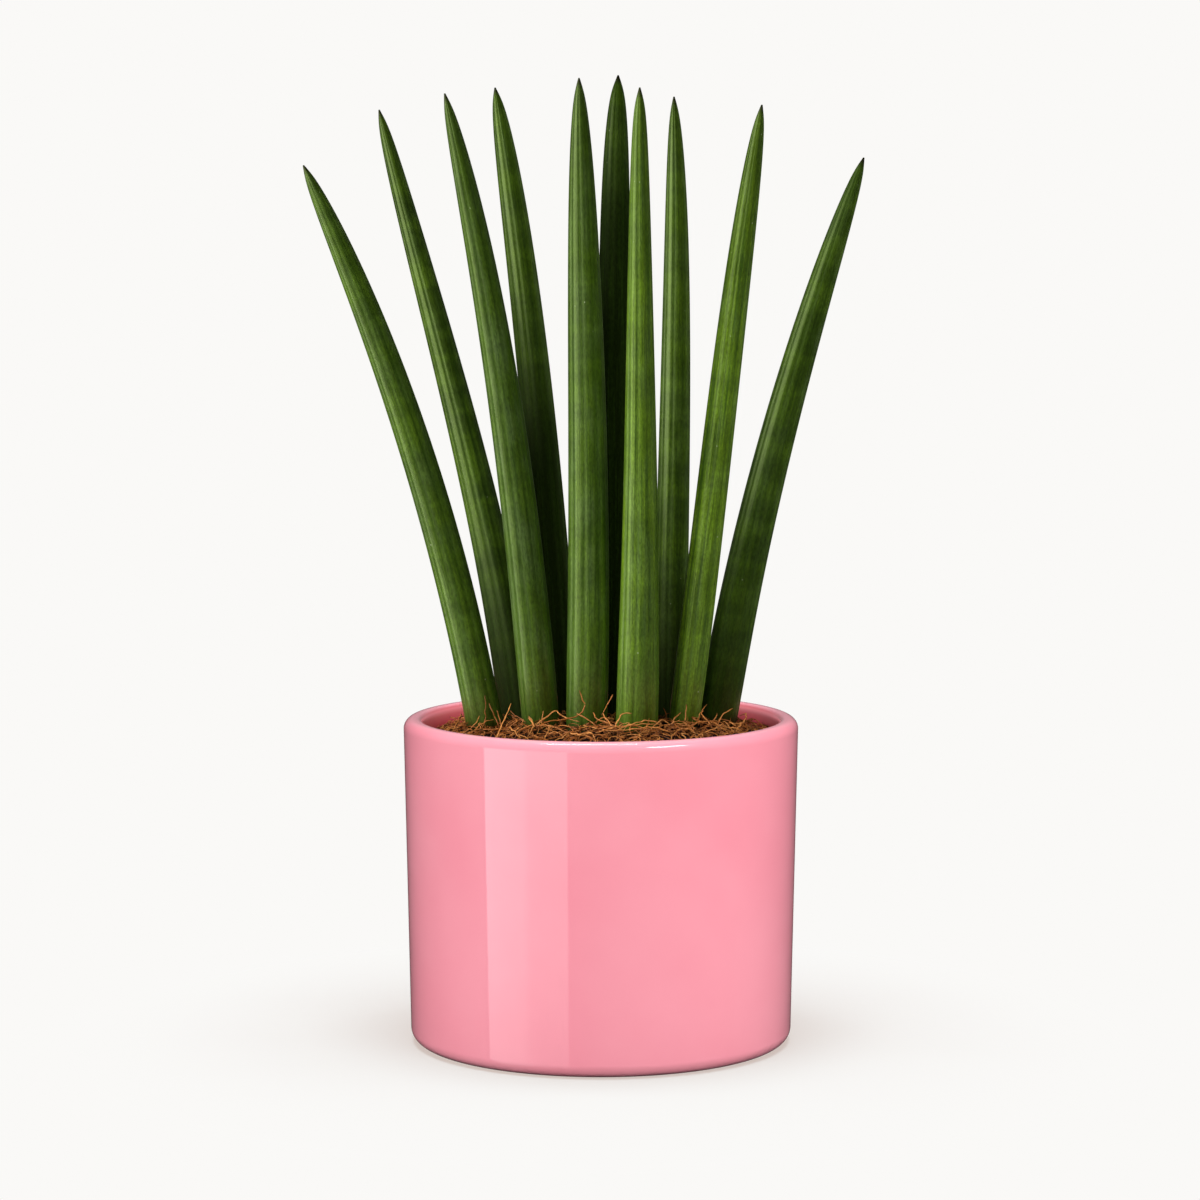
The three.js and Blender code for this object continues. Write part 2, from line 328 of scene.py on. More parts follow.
    def glow(self, colour: Colour, strength: Wire | float = 1.0) -> bpy.types.Node:
        """A shader that gives off its own light."""
        return self.node("ShaderNodeEmission", {}, {0: rgba(colour), 1: strength})

    def matte(self, colour: Colour) -> bpy.types.Node:
        """A dull shader."""
        return self.node("ShaderNodeBsdfDiffuse", {}, {"Color": rgba(colour)})

    def either(self, share: Any, first: bpy.types.Node, second: bpy.types.Node) -> bpy.types.Node:
        """Two shaders mixed.

        Args:
            share: How much of the second there is, from 0 to 1.
            first: The first shader.
            second: The second shader.

        Returns:
            The mixed shader.
        """
        inputs = {0: share, 1: first.outputs[0], 2: second.outputs[0]}
        return self.node("ShaderNodeMixShader", {}, inputs)

    def parted(self, given: bpy.types.Node, seen: bpy.types.Node) -> bpy.types.Node:
        """A shader that differs between the camera and the rest.

        Args:
            given: What the light in the scene meets.
            seen: What the camera sees.

        Returns:
            The shader.
        """
        path = self.node("ShaderNodeLightPath")
        return self.either(path.outputs["Is Camera Ray"], given, seen)


def rgba(colour: Colour) -> tuple[float, float, float, float]:
    """A colour with full cover."""
    return (*colour, 1.0)


def toned(colour: Colour, by: float) -> Colour:
    """A colour with all three parts multiplied by one number."""
    red, green, blue = colour
    return (red * by, green * by, blue * by)


def blended(share: float, first: Colour, second: Colour) -> Colour:
    """A colour that lies this share of the way from the first to the second."""
    red, green, blue = (a * (1 - share) + b * share for a, b in zip(first, second))
    return (red, green, blue)


def new_material(name: str) -> tuple[bpy.types.Material, Graph]:
    """An empty node material and its graph."""
    material = bpy.data.materials.new(name)
    material.use_nodes = True
    return material, Graph(material.node_tree)


# ---- finishes ---------------------------------------------------------------------------


@dataclass(frozen=True)
class GlazeFinish:
    """Glossy coloured glaze with a bare clay foot. Colours are linear, and sizes in metres.

    Attributes:
        colour: The glaze at its usual depth.
        deep: The glaze where it lies a little deeper.
        thin: The glaze over the top of the rim, where it thins out.
        thinning: How much of the thin colour shows there.
        rim_thinning: The heights between which the glaze thins out.
        painted_inner_shade: The glaze's colour inside the pot, darker and deeper pink:
            painted shade of the inside.
        inside: The radii between which the painted shade comes in.
        upper_painted_bounce: A painted glow just below the rim, for the light that the inner
            walls throw at each other.
        lower_painted_bounce: The same painted glow further down.
        painted_bounce_places: Where those two stand on the glow's way down, as shares of it.
        painted_bounce_top: The height at which that way starts.
        painted_bounce_depth: How long it is.
        clay: The bare clay of the foot.
        clay_shade: How bright its darkest grit is against the rest.
        clay_top: The height at which the glaze has covered it.
        cloud: Where the glaze lies deeper.
        cloud_edges: The values between which that pattern turns.
        grit: The clay's grit.
        wave: Slow waves in the glaze.
        peel: Fine pits in the glaze.
        roughness: The roughness under the coat, of the glaze and of the clay.
    """

    colour: Colour = (0.93, 0.33, 0.40)
    deep: Colour = (0.90, 0.29, 0.36)
    thin: Colour = (0.95, 0.42, 0.49)
    thinning: float = 0.45
    rim_thinning: Span = (123.0 * MM, 124.3 * MM)
    # painted shade of the pot's inside, then a painted glow for the bounce between its walls
    painted_inner_shade: Colour = (0.54, 0.055, 0.070)
    inside: Span = (69.5 * MM, 67.8 * MM)
    upper_painted_bounce: Colour = (0.32, 0.160, 0.175)
    lower_painted_bounce: Colour = (0.11, 0.045, 0.050)
    painted_bounce_places: Span = (0.22, 0.5)
    painted_bounce_top: float = 124.2 * MM
    painted_bounce_depth: float = 7.0 * MM
    clay: Colour = (0.66, 0.56, 0.45)
    clay_shade: float = 0.75
    clay_top: float = 0.25 * MM
    cloud: Pattern = Pattern(16, 3)
    cloud_edges: Span = (0.3, 0.7)
    grit: Pattern = Pattern(900, 4)
    wave: Pattern = Pattern(45, 1)
    wave_height: float = 0.12 * MM
    peel: Pattern = Pattern(420)
    peel_height: float = 0.004 * MM
    roughness: Span = (0.38, 0.88)
    specular: float = 0.2
    coat_roughness: float = 0.035
    coat_index: float = 1.52

    def dress(self) -> bpy.types.Material:
        """Makes the material.

        The glaze is a little uneven in depth, is painted darker and deeper pink inside the pot
        as shade, thins out to a paler colour over the top of the rim, and ends where the pot
        stands, which leaves dull bare clay. A faint painted glow inside stands in for the light
        between the inner walls.

        Returns:
            The material.
        """
        material, graph = new_material("pink_glaze")
        place = graph.place()
        x, y, height = graph.parts(place)
        within = ((x * x + y * y) ** 0.5).step(*self.inside)
        bare = height.step(self.clay_top, 0.0)
        even = graph.noise(place, self.cloud).step(*self.cloud_edges)
        glazed = graph.mix(even, self.deep, self.colour)
        # painted shade: the inside of the pot is darker and deeper pink
        glazed = graph.mix(within, glazed, self.painted_inner_shade)
        glazed = graph.mix(height.step(*self.rim_thinning) * self.thinning, glazed, self.thin)
        grit = graph.noise(place, self.grit)
        clay = graph.mix(grit, toned(self.clay, self.clay_shade), self.clay)
        wave = graph.bump(graph.noise(place, self.wave), self.wave_height)
        graph.surface(
            "glaze",
            {
                "Base Color": graph.mix(bare, glazed, clay),
                "Roughness": bare.between(self.roughness),
                "Coat Weight": 1 - bare,
                "Coat Roughness": self.coat_roughness,
                "Coat IOR": self.coat_index,
                "Specular IOR Level": self.specular,
                # painted light: a glow inside the pot for the light between its inner walls
                "Emission Color": self._painted_bounce(graph, height, within),
                "Emission Strength": 1.0,
                "Normal": graph.bump(graph.noise(place, self.peel), self.peel_height, wave),
            },
        )
        return material

    def _painted_bounce(self, graph: Graph, height: Wire, within: Wire) -> Wire:
        """A faint painted glow for the light that the inner walls throw at each other.

        It is strongest just below the rim and fades downwards.

        Args:
            graph: The material's graph.
            height: The height, in metres.
            within: The mask of the pot's inside.

        Returns:
            The glow's colour.
        """
        upper, lower = self.painted_bounce_places
        sunk = (self.painted_bounce_top - height) * (1 / self.painted_bounce_depth)
        stops = [(0.0, BLACK), (upper, self.upper_painted_bounce), (lower, self.lower_painted_bounce), (1.0, BLACK)]
        return graph.brightened(graph.ramp(sunk, stops), within)


@dataclass(frozen=True)
class LeafFinish:
    """Waxy leaf skin. Colours are linear, and sizes in metres.

    It reads two vectors kept at the leaf's points: "blade", the place on the leaf as if it were
    straightened, in metres, and "marks", with the groove, the spine and the foot from 0 to 1.

    Attributes:
        name: The material's name.
        light: How light the leaf is.
        warmth: How far its green goes from cool to warm, from 0 to 1.
        bands: How strongly bands cross it.
        bloom: How much waxy bloom lies on it.
        shift: How far the patterns are moved along it, so that no two leaves are alike.
        foot_shade: How dark the foot of a leaf that stands behind others is painted, as
        shade. A leaf with 0 has a pale foot instead.
        gloss: How strongly it shines.
        tip_tone: How light the tip is against the rest.
        tip_length: The length over which the tip's tone fades out.
        stain_and_shade_height: The heights between which the earth's stain and the painted
        contact shade come in.
        pore_edges: Distances from a pore's middle between which it fades in.
        pore_pick: The values between which a cell is picked to hold a pore.
    """

    name: str
    light: float = 1.0
    warmth: float = 0.3
    bands: float = 0.25
    bloom: float = 0.2
    shift: float = 0.0
    foot_shade: float = 0.0
    gloss: float = 0.85
    tip_tone: float = 0.76
    tip_length: float = 90.0 * MM
    dark: Colour = (0.026, 0.062, 0.004)
    green: Colour = (0.064, 0.126, 0.008)
    warm: Colour = (0.092, 0.158, 0.005)
    wax: Colour = (0.110, 0.170, 0.060)
    base: Colour = (0.086, 0.160, 0.014)
    # painted shade: the dark green of a foot in the shade of the leaves in front
    painted_foot_shade: Colour = (0.010, 0.022, 0.002)
    spine: Colour = (0.010, 0.006, 0.004)
    # earth stain and painted contact shade where the skin meets the coir
    earth: Colour = (0.014, 0.008, 0.002)
    speck: Colour = (0.42, 0.48, 0.28)
    gloss_tint: Colour = (0.76, 1.0, 0.34)
    base_share: float = 0.5
    groove_shade: float = 0.3
    stain_and_shade_share: float = 0.9
    stain_and_shade_height: Span = (125.5 * MM, 121.5 * MM)
    streaks: Pattern = Pattern(620, 3, 0.6, (1.0, 1.0, 0.025))
    streak_edges: Span = (0.30, 0.62)
    belts: Pattern = Pattern(105, 2, 0.5, (0.3, 0.3, 1.0))
    belt_edges: Span = (0.36, 0.64)
    patches: Pattern = Pattern(190, 3, 0.5, (1.0, 1.0, 0.35))
    patch_edges: Span = (0.38, 0.72)
    lines: Pattern = Pattern(1800, 2, 0.5, (1.0, 1.0, 0.02))
    line_edges: Span = (0.50, 0.36)
    line_shade: float = 0.6
    flecks: Pattern = Pattern(1600, 2, 0.6, (1.0, 1.0, 0.4))
    fleck_light: Span = (0.1, 1.9)
    pore_scale: float = 230.0
    pore_edges: Span = (0.095, 0.04)
    pore_pick: Span = (0.80, 0.88)
    pore_share: float = 0.65
    pore_relief: float = 0.3
    ridges: Pattern = Pattern(900, 1, 0.5, (1.0, 1.0, 0.02))
    relief: float = 0.07 * MM
    grain: Pattern = Pattern(2200, 3, 0.5, (1.0, 1.0, 0.3))
    roughness: Span = (0.31, 0.43)
    spine_roughness: float = 0.2
    shaded_foot_roughness: float = 0.3

    def dress(self) -> bpy.types.Material:
        """Makes the material.

        Long dark streaks and fine dark lines run up the leaf, faint bands cross it, a thin
        bluish bloom lies in patches, fine flecks and small pale pores are scattered over it,
        the grooves and the top are darker, the foot is paler, or painted dark as shade on a
        leaf behind others, the hard point is brown, and where the skin sinks into the coir it
        darkens with earth stain and painted contact shade.

        Returns:
            The material.
        """
        material, graph = new_material(self.name)
        place = graph.attribute("blade")
        inputs = {"Vector": place, "Location": (0.0, 0.0, self.shift)}
        blade = Wire(graph, graph.node("ShaderNodeMapping", {}, inputs).outputs[0])
        groove, spine, foot = graph.parts(graph.attribute("marks"))
        shaded_foot = foot * self.foot_shade
        top = graph.parts(place)[2].step(0.0, self.tip_length).between((self.tip_tone, 1.0))
        colour = graph.brightened(self._greens(graph, blade), top)
        # painted shade on the foot of a leaf that stands behind others
        if self.foot_shade:
            colour = graph.mix(shaded_foot, colour, self.painted_foot_shade)
        else:
            colour = graph.mix(foot * self.base_share, colour, toned(self.base, self.light))
        colour = graph.mix(groove * self.groove_shade, colour, self.dark)
        lines = graph.noise(blade, self.lines).step(*self.line_edges)
        colour = graph.mix(lines * self.line_shade, colour, self.dark)
        flecks = graph.noise(blade, self.flecks).between(self.fleck_light)
        colour = graph.brightened(colour, flecks)
        pores = self._pores(graph, blade) * (1 - shaded_foot)
        colour = graph.mix(pores * self.pore_share, colour, self.speck)
        colour = graph.mix(spine, colour, self.spine)
        # earth stain and painted contact shade where the skin sinks into the coir
        sunk = graph.parts(graph.place())[2].step(*self.stain_and_shade_height)
        grain = graph.noise(blade, self.grain).between(self.roughness)
        worn = spine * self.spine_roughness + shaded_foot * self.shaded_foot_roughness
        ridges = graph.noise(blade, self.ridges)
        relief = ridges * (1 - self.pore_relief) + pores * self.pore_relief
        graph.surface(
            "leaf",
            {
                "Base Color": graph.mix(sunk * self.stain_and_shade_share, colour, self.earth),
                "Roughness": grain + worn,
                "Specular IOR Level": self.gloss,
                "Specular Tint": rgba(self.gloss_tint),
                "Normal": graph.bump(relief, self.relief),
            },
        )
        return material

    def _greens(self, graph: Graph, blade: Wire) -> Wire:
        """The leaf's green with its streaks, bands and bloom.

        Args:
            graph: The material's graph.
            blade: The place on the straightened leaf.

        Returns:
            The colour.
        """
        main = toned(blended(self.warmth, self.green, self.warm), self.light)
        streaks = graph.noise(blade, self.streaks).step(*self.streak_edges)
        colour = graph.mix(streaks, toned(self.dark, self.light), main)
        waxy = graph.noise(blade, self.patches).step(*self.patch_edges) * self.bloom
        colour = graph.mix(waxy, colour, toned(self.wax, self.light))
        across = graph.noise(blade, self.belts).step(*self.belt_edges)
        colour = graph.mix(across * self.bands, colour, toned(self.warm, self.light))
        return graph.brightened(colour, across.between((1 - self.bands, 1 + self.bands)))

    def _pores(self, graph: Graph, blade: Wire) -> Wire:
        """Scattered pale pores, 1 at the middle of each.

        Args:
            graph: The material's graph.
            blade: The place on the straightened leaf.

        Returns:
            The pores' mask.
        """
        inputs = {"Vector": blade, "Scale": self.pore_scale}
        cells = graph.node("ShaderNodeTexVoronoi", {}, inputs)
        near = Wire(graph, cells.outputs["Distance"]).step(*self.pore_edges)
        pick = graph.parts(Wire(graph, cells.outputs["Color"]))[0].step(*self.pore_pick)
        return near * pick


@dataclass(frozen=True)
class CoirFinish:
    """Dry brown fibre. Colours are linear, and sizes in metres.

    It reads "strand" at the points: the strand's own tone, and the place along it, both from 0
    to 1.

    Attributes:
        name: The material's name.
        dark: The darkest tone, near which the underlayer lies: painted shade for the gaps
        between the fibres.
        brown: The tone at brown_place, between the other two.
        light: The lightest tone.
        tone_pull: How much the strand's own tone decides where on the ramp it stands.
        scale_pull: How much its scales do.
        patch_pull: How much the wide patches do.
        darkening: What is taken off the sum of the three.
        root_end: The places between which its root darkens.
        tip_end: The places between which its tip darkens.
        end_shade: How dark both ends get.
    """

    name: str
    # painted shade: the darkest tone, which the underlayer's fibres take in the gaps
    dark: Colour = (0.018, 0.004, 0.001)
    brown: Colour = (0.42, 0.128, 0.025)
    light: Colour = (1.0, 0.43, 0.12)
    brown_place: float = 0.42
    tone_pull: float = 0.95
    scale_pull: float = 0.4
    patch_pull: float = 0.4
    darkening: float = 0.46
    root_end: Span = (0.1, 0.0)
    tip_end: Span = (0.92, 1.0)
    end_shade: float = 0.5
    scales: Pattern = Pattern(900, 3)
    scale_light: Span = (0.75, 1.25)
    patches: Pattern = Pattern(55)
    pits: Pattern = Pattern(2600)
    relief: float = 0.05 * MM
    roughness: Span = (0.4, 0.6)
    specular: float = 0.35

    def dress(self) -> bpy.types.Material:
        """Makes the material: each strand has its own tone, darker scales and darker ends.

        Returns:
            The material.
        """
        material, graph = new_material(self.name)
        tone, share, _ = graph.parts(graph.attribute("strand"))
        place = graph.place()
        scaly = graph.noise(place, self.scales)
        patch = graph.noise(place, self.patches)
        pull = tone * self.tone_pull + scaly * self.scale_pull + patch * self.patch_pull
        stops = [(0.0, self.dark), (self.brown_place, self.brown), (1.0, self.light)]
        ends = share.step(*self.root_end) + share.step(*self.tip_end)
        ramp = graph.ramp(pull - self.darkening, stops)
        colour = graph.mix(ends * self.end_shade, ramp, self.dark)
        graph.surface(
            "fibre",
            {
                "Base Color": graph.brightened(colour, scaly.between(self.scale_light)),
                "Roughness": scaly.between(self.roughness),
                "Specular IOR Level": self.specular,
                "Normal": graph.bump(graph.noise(place, self.pits), self.relief),
            },
        )
        return material


@dataclass(frozen=True)
class EarthFinish:
    """Crumbly dark matter: the felt under the fibres, or the potting mix. Colours are linear.

    Attributes:
        name: The material's name.
        dark: The hollows' colour, painted darker as shade.
        light: The crumbs' colour.
        crumbs: The pattern of the crumbs.
        grit: The finer pattern on them.
        relief: How high the crumbs stand, in metres.
    """

    name: str
    dark: Colour
    light: Colour
    crumbs: Pattern
    grit: Pattern
    relief: float
    crumb_edges: Span = (0.35, 0.75)
    grit_light: Span = (0.5, 1.4)
    grit_relief: float = 0.3
    roughness: Span = (0.75, 0.95)
    specular: float = 0.25

    def dress(self) -> bpy.types.Material:
        """Makes the material: hollows painted dark as shade, lighter crumbs, and a rough
        bumpy surface.

        Returns:
            The material.
        """
        material, graph = new_material(self.name)
        place = graph.place()
        crumbs = graph.noise(place, self.crumbs)
        grit = graph.noise(place, self.grit)
        # painted shade: darker where the crumbs' relief sinks into hollows
        colour = graph.mix(crumbs.step(*self.crumb_edges), self.dark, self.light)
        relief = crumbs * (1 - self.grit_relief) + grit * self.grit_relief
        graph.surface(
            "earth",
            {
                "Base Color": graph.brightened(colour, grit.between(self.grit_light)),
                "Roughness": grit.between(self.roughness),
                "Specular IOR Level": self.specular,
                "Normal": graph.bump(relief, self.relief),
            },
        )
        return material


# ---- meshes -----------------------------------------------------------------------------


def turns(sides: int) -> Array:
    """Evenly spaced angles once round, in radians."""
    return np.linspace(0, 2 * math.pi, sides, endpoint=False)


def tube_faces(rings: int, sides: int) -> Array:
    """The quads of a tube whose points are numbered ring by ring.

    Side j of ring i joins point i * sides + j to the next point round and to the same two
    points on the next ring, so that it faces outwards where the angle runs anticlockwise
    seen against the tube's direction.

    Args:
        rings: How many rings there are.
        sides: How many points each ring has.

    Returns:
        An array of (rings - 1) * sides rows of four point numbers.
    """
    ring = np.arange(rings - 1)[:, None] * sides
    here = np.arange(sides)[None, :]
    after = (here + 1) % sides
    corners = [ring + here, ring + after, ring + sides + after, ring + sides + here]
    return np.stack(corners, -1).reshape(-1, 4)


def pole_faces(rings: int, sides: int) -> Array:
    """The triangles that close both ends of a tube onto a pole.

    The first pole's number is rings * sides and the last one's is one more.

    Args:
        rings: How many rings there are.
        sides: How many points each ring has.

    Returns:
        An array of 2 * sides rows of three point numbers.
    """
    here = np.arange(sides)
    after = (here + 1) % sides
    first = np.full(sides, rings * sides)
    start = np.stack([first, after, here], -1)
    last = (rings - 1) * sides
    end = np.stack([first + 1, last + here, last + after], -1)
    return np.concatenate([start, end])


def build_mesh(
    name: str,
    points: Array,
    faces: Sequence[Array],
    marks: Mapping[str, Array] | None = None,
) -> bpy.types.Object:
    """A smooth mesh object at the origin.

    Args:
        name: The piece's name.
        points: Rows of x, y, z in millimetres.
        faces: Arrays of faces, each with as many columns as its faces have corners.
        marks: Vectors to keep at the points, by name, one row to a point.

    Returns:
        The object, in the scene.
    """
    mesh = bpy.data.meshes.new(name)
    corners = np.concatenate([part.ravel() for part in faces])
    counts = np.concatenate([np.full(len(part), part.shape[1]) for part in faces])
    starts = np.concatenate([[0], np.cumsum(counts)[:-1]])
    mesh.vertices.add(len(points))
    mesh.vertices.foreach_set("co", (points * MM).astype(np.float32).ravel())
    mesh.loops.add(len(corners))
    mesh.loops.foreach_set("vertex_index", corners.astype(np.int32))
    mesh.polygons.add(len(counts))
    mesh.polygons.foreach_set("loop_start", starts.astype(np.int32))
    mesh.polygons.foreach_set("use_smooth", np.ones(len(counts), bool))
    for mark, values in (marks or {}).items():
        kept = mesh.attributes.new(mark, "FLOAT_VECTOR", "POINT")
        kept.data.foreach_set("vector", values.astype(np.float32).ravel())
    mesh.update(calc_edges=True)
    made = bpy.data.objects.new(name, mesh)
    bpy.context.scene.collection.objects.link(made)
    return made


def closed_tube(
    name: str, rings: Array, poles: Array, marks: Mapping[str, Array] | None = None
) -> bpy.types.Object:
    """A tube whose two ends are closed onto a pole each.

    Args:
        name: The piece's name.
        rings: An array of rings, sides and x, y, z, in millimetres.
        poles: The pole that closes the first ring and the one that closes the last.
        marks: Vectors to keep at the points, ring by ring and then at the poles.

    Returns:
        The object, in the scene.
    """
    count, sides = rings.shape[:2]
    points = np.concatenate([rings.reshape(-1, 3), poles])
    return build_mesh(name, points, [tube_faces(count, sides), pole_faces(count, sides)], marks)


def settle(
    made: bpy.types.Object, material: bpy.types.Material, slot: str, *nodes: str
) -> bpy.types.Object:
    """Dresses a piece and ties it to the frame.

    Args:
        made: The piece.
        material: Its material.
        slot: Not used.
        *nodes: The nodes that it stands for.

    Returns:
        The same piece.
    """
    made.data.materials.append(material)
    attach(made, BODY)
    if nodes:
        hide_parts(*nodes)
    triangles = sum(len(p.vertices) - 2 for p in made.data.polygons)
    log.info("%s: %d triangles", made.name, triangles)
    return made


def unit(vectors: Array) -> Array:
    """Vectors scaled to a length of 1."""
    return vectors / np.linalg.norm(vectors, axis=-1, keepdims=True)


def bezier(corners: Array, share: Array) -> Array:
    """Points on a cubic Bezier curve.

    Each is the four corners weighted by the cubic Bernstein polynomials of its share.

    Args:
        corners: The curve's four corners, as rows.
        share: Places on the curve, from 0 at the first corner to 1 at the last.

    Returns:
        The points, as rows.
    """
    t = share[:, None]
    weights = [(1 - t) ** 3, 3 * t * (1 - t) ** 2, 3 * t**2 * (1 - t), t**3]
    return sum(weight * corner for weight, corner in zip(weights, corners))


def bezier_slope(corners: Array, share: Array) -> Array:
    """Directions of a cubic Bezier curve, from the quadratic of its corners' steps.

    Args:
        corners: The curve's four corners, as rows.
        share: Places on the curve.

    Returns:
        The directions, as rows of length 1.
    """
    t = share[:, None]
    steps = np.diff(corners, axis=0)
    weights = [(1 - t) ** 2, 2 * t * (1 - t), t**2]
    return unit(sum(weight * step for weight, step in zip(weights, steps)))


# ---- pot --------------------------------------------------------------------------------


@dataclass
class Pot:
    """A straight-sided planter, slightly wider at the top. Sizes are in millimetres.

    Attributes:
        foot_radius: The outer radius at the foot, as if its edge weren't rounded.
        top_radius: The same at the top.
        wall: The wall's thickness, measured level.
        floor: The floor's thickness.
        sides: How many points each ring has.
        arc_steps: How many steps each rounded edge has.
    """

    height: float = 124.1
    foot_radius: float = 72.5
    top_radius: float = 75.0
    wall: float = 7.3
    floor: float = 8.0
    rim_outer: float = 4.0
    rim_inner: float = 2.5
    foot_round: float = 5.5
    floor_round: float = 6.0
    sides: int = 256
    arc_steps: int = 14
    finish: GlazeFinish = field(default_factory=GlazeFinish)

    @property
    def lean(self) -> float:
        """How far the wall leans out from upright, in radians."""
        return math.atan((self.top_radius - self.foot_radius) / self.height)

    def outer(self, z: float | Array) -> float | Array:
        """The outer radius at a height."""
        return self.foot_radius + z * math.tan(self.lean)

    def inner(self, z: float | Array) -> float | Array:
        """The inner radius at a height."""
        return self.outer(z) - self.wall

    def profile(self) -> Array:
        """The pot's half section.

        Four arcs, each tangent to the wall that it meets, are joined by straight lines: the
        foot, the outer and the inner edge of the rim, and the corner of the floor.

        Returns:
            Rows of radius and height, from the edge of the flat underside, over the rim, to
            the edge of the flat floor.
        """
        slant = 1 / math.cos(self.lean)
        quarter = math.pi / 2
        rim_z = self.height - self.rim_outer
        lip_z = self.height - self.rim_inner
        floor_z = self.floor + self.floor_round
        foot_z = self.foot_round
        arcs = [
            (self.outer(foot_z), foot_z, -1, self.foot_round, -quarter, -self.lean),
            (self.outer(rim_z), rim_z, -1, self.rim_outer, -self.lean, quarter),
            (self.inner(lip_z), lip_z, 1, self.rim_inner, quarter, math.pi - self.lean),
            (self.inner(floor_z), floor_z, -1, self.floor_round, -self.lean, -quarter),
        ]
        rows = []
        for wall_r, centre_z, side, radius, start, end in arcs:
            angle = np.linspace(start, end, self.arc_steps + 1)
            centre_r = wall_r + side * radius * slant
            arc = [centre_r + radius * np.cos(angle), centre_z + radius * np.sin(angle)]
            rows.append(np.stack(arc, -1))
        return np.concatenate(rows)

    def build(self) -> bpy.types.Object:
        """Turns the half section about the Z axis, with a pole in the underside and the floor.

        Returns:
            The pot.
        """
        section = self.profile()
        angle = turns(self.sides)
        radius = section[:, :1]
        height = np.repeat(section[:, 1:], self.sides, axis=1)
        rings = np.stack([radius * np.cos(angle), radius * np.sin(angle), height], -1)
        poles = np.array([[0, 0, 0], [0, 0, self.floor]])
        made = closed_tube("pot_glazed", rings, poles)
        return settle(made, self.finish.dress(), "pot_glaze", "pot")


# ---- leaves -----------------------------------------------------------------------------


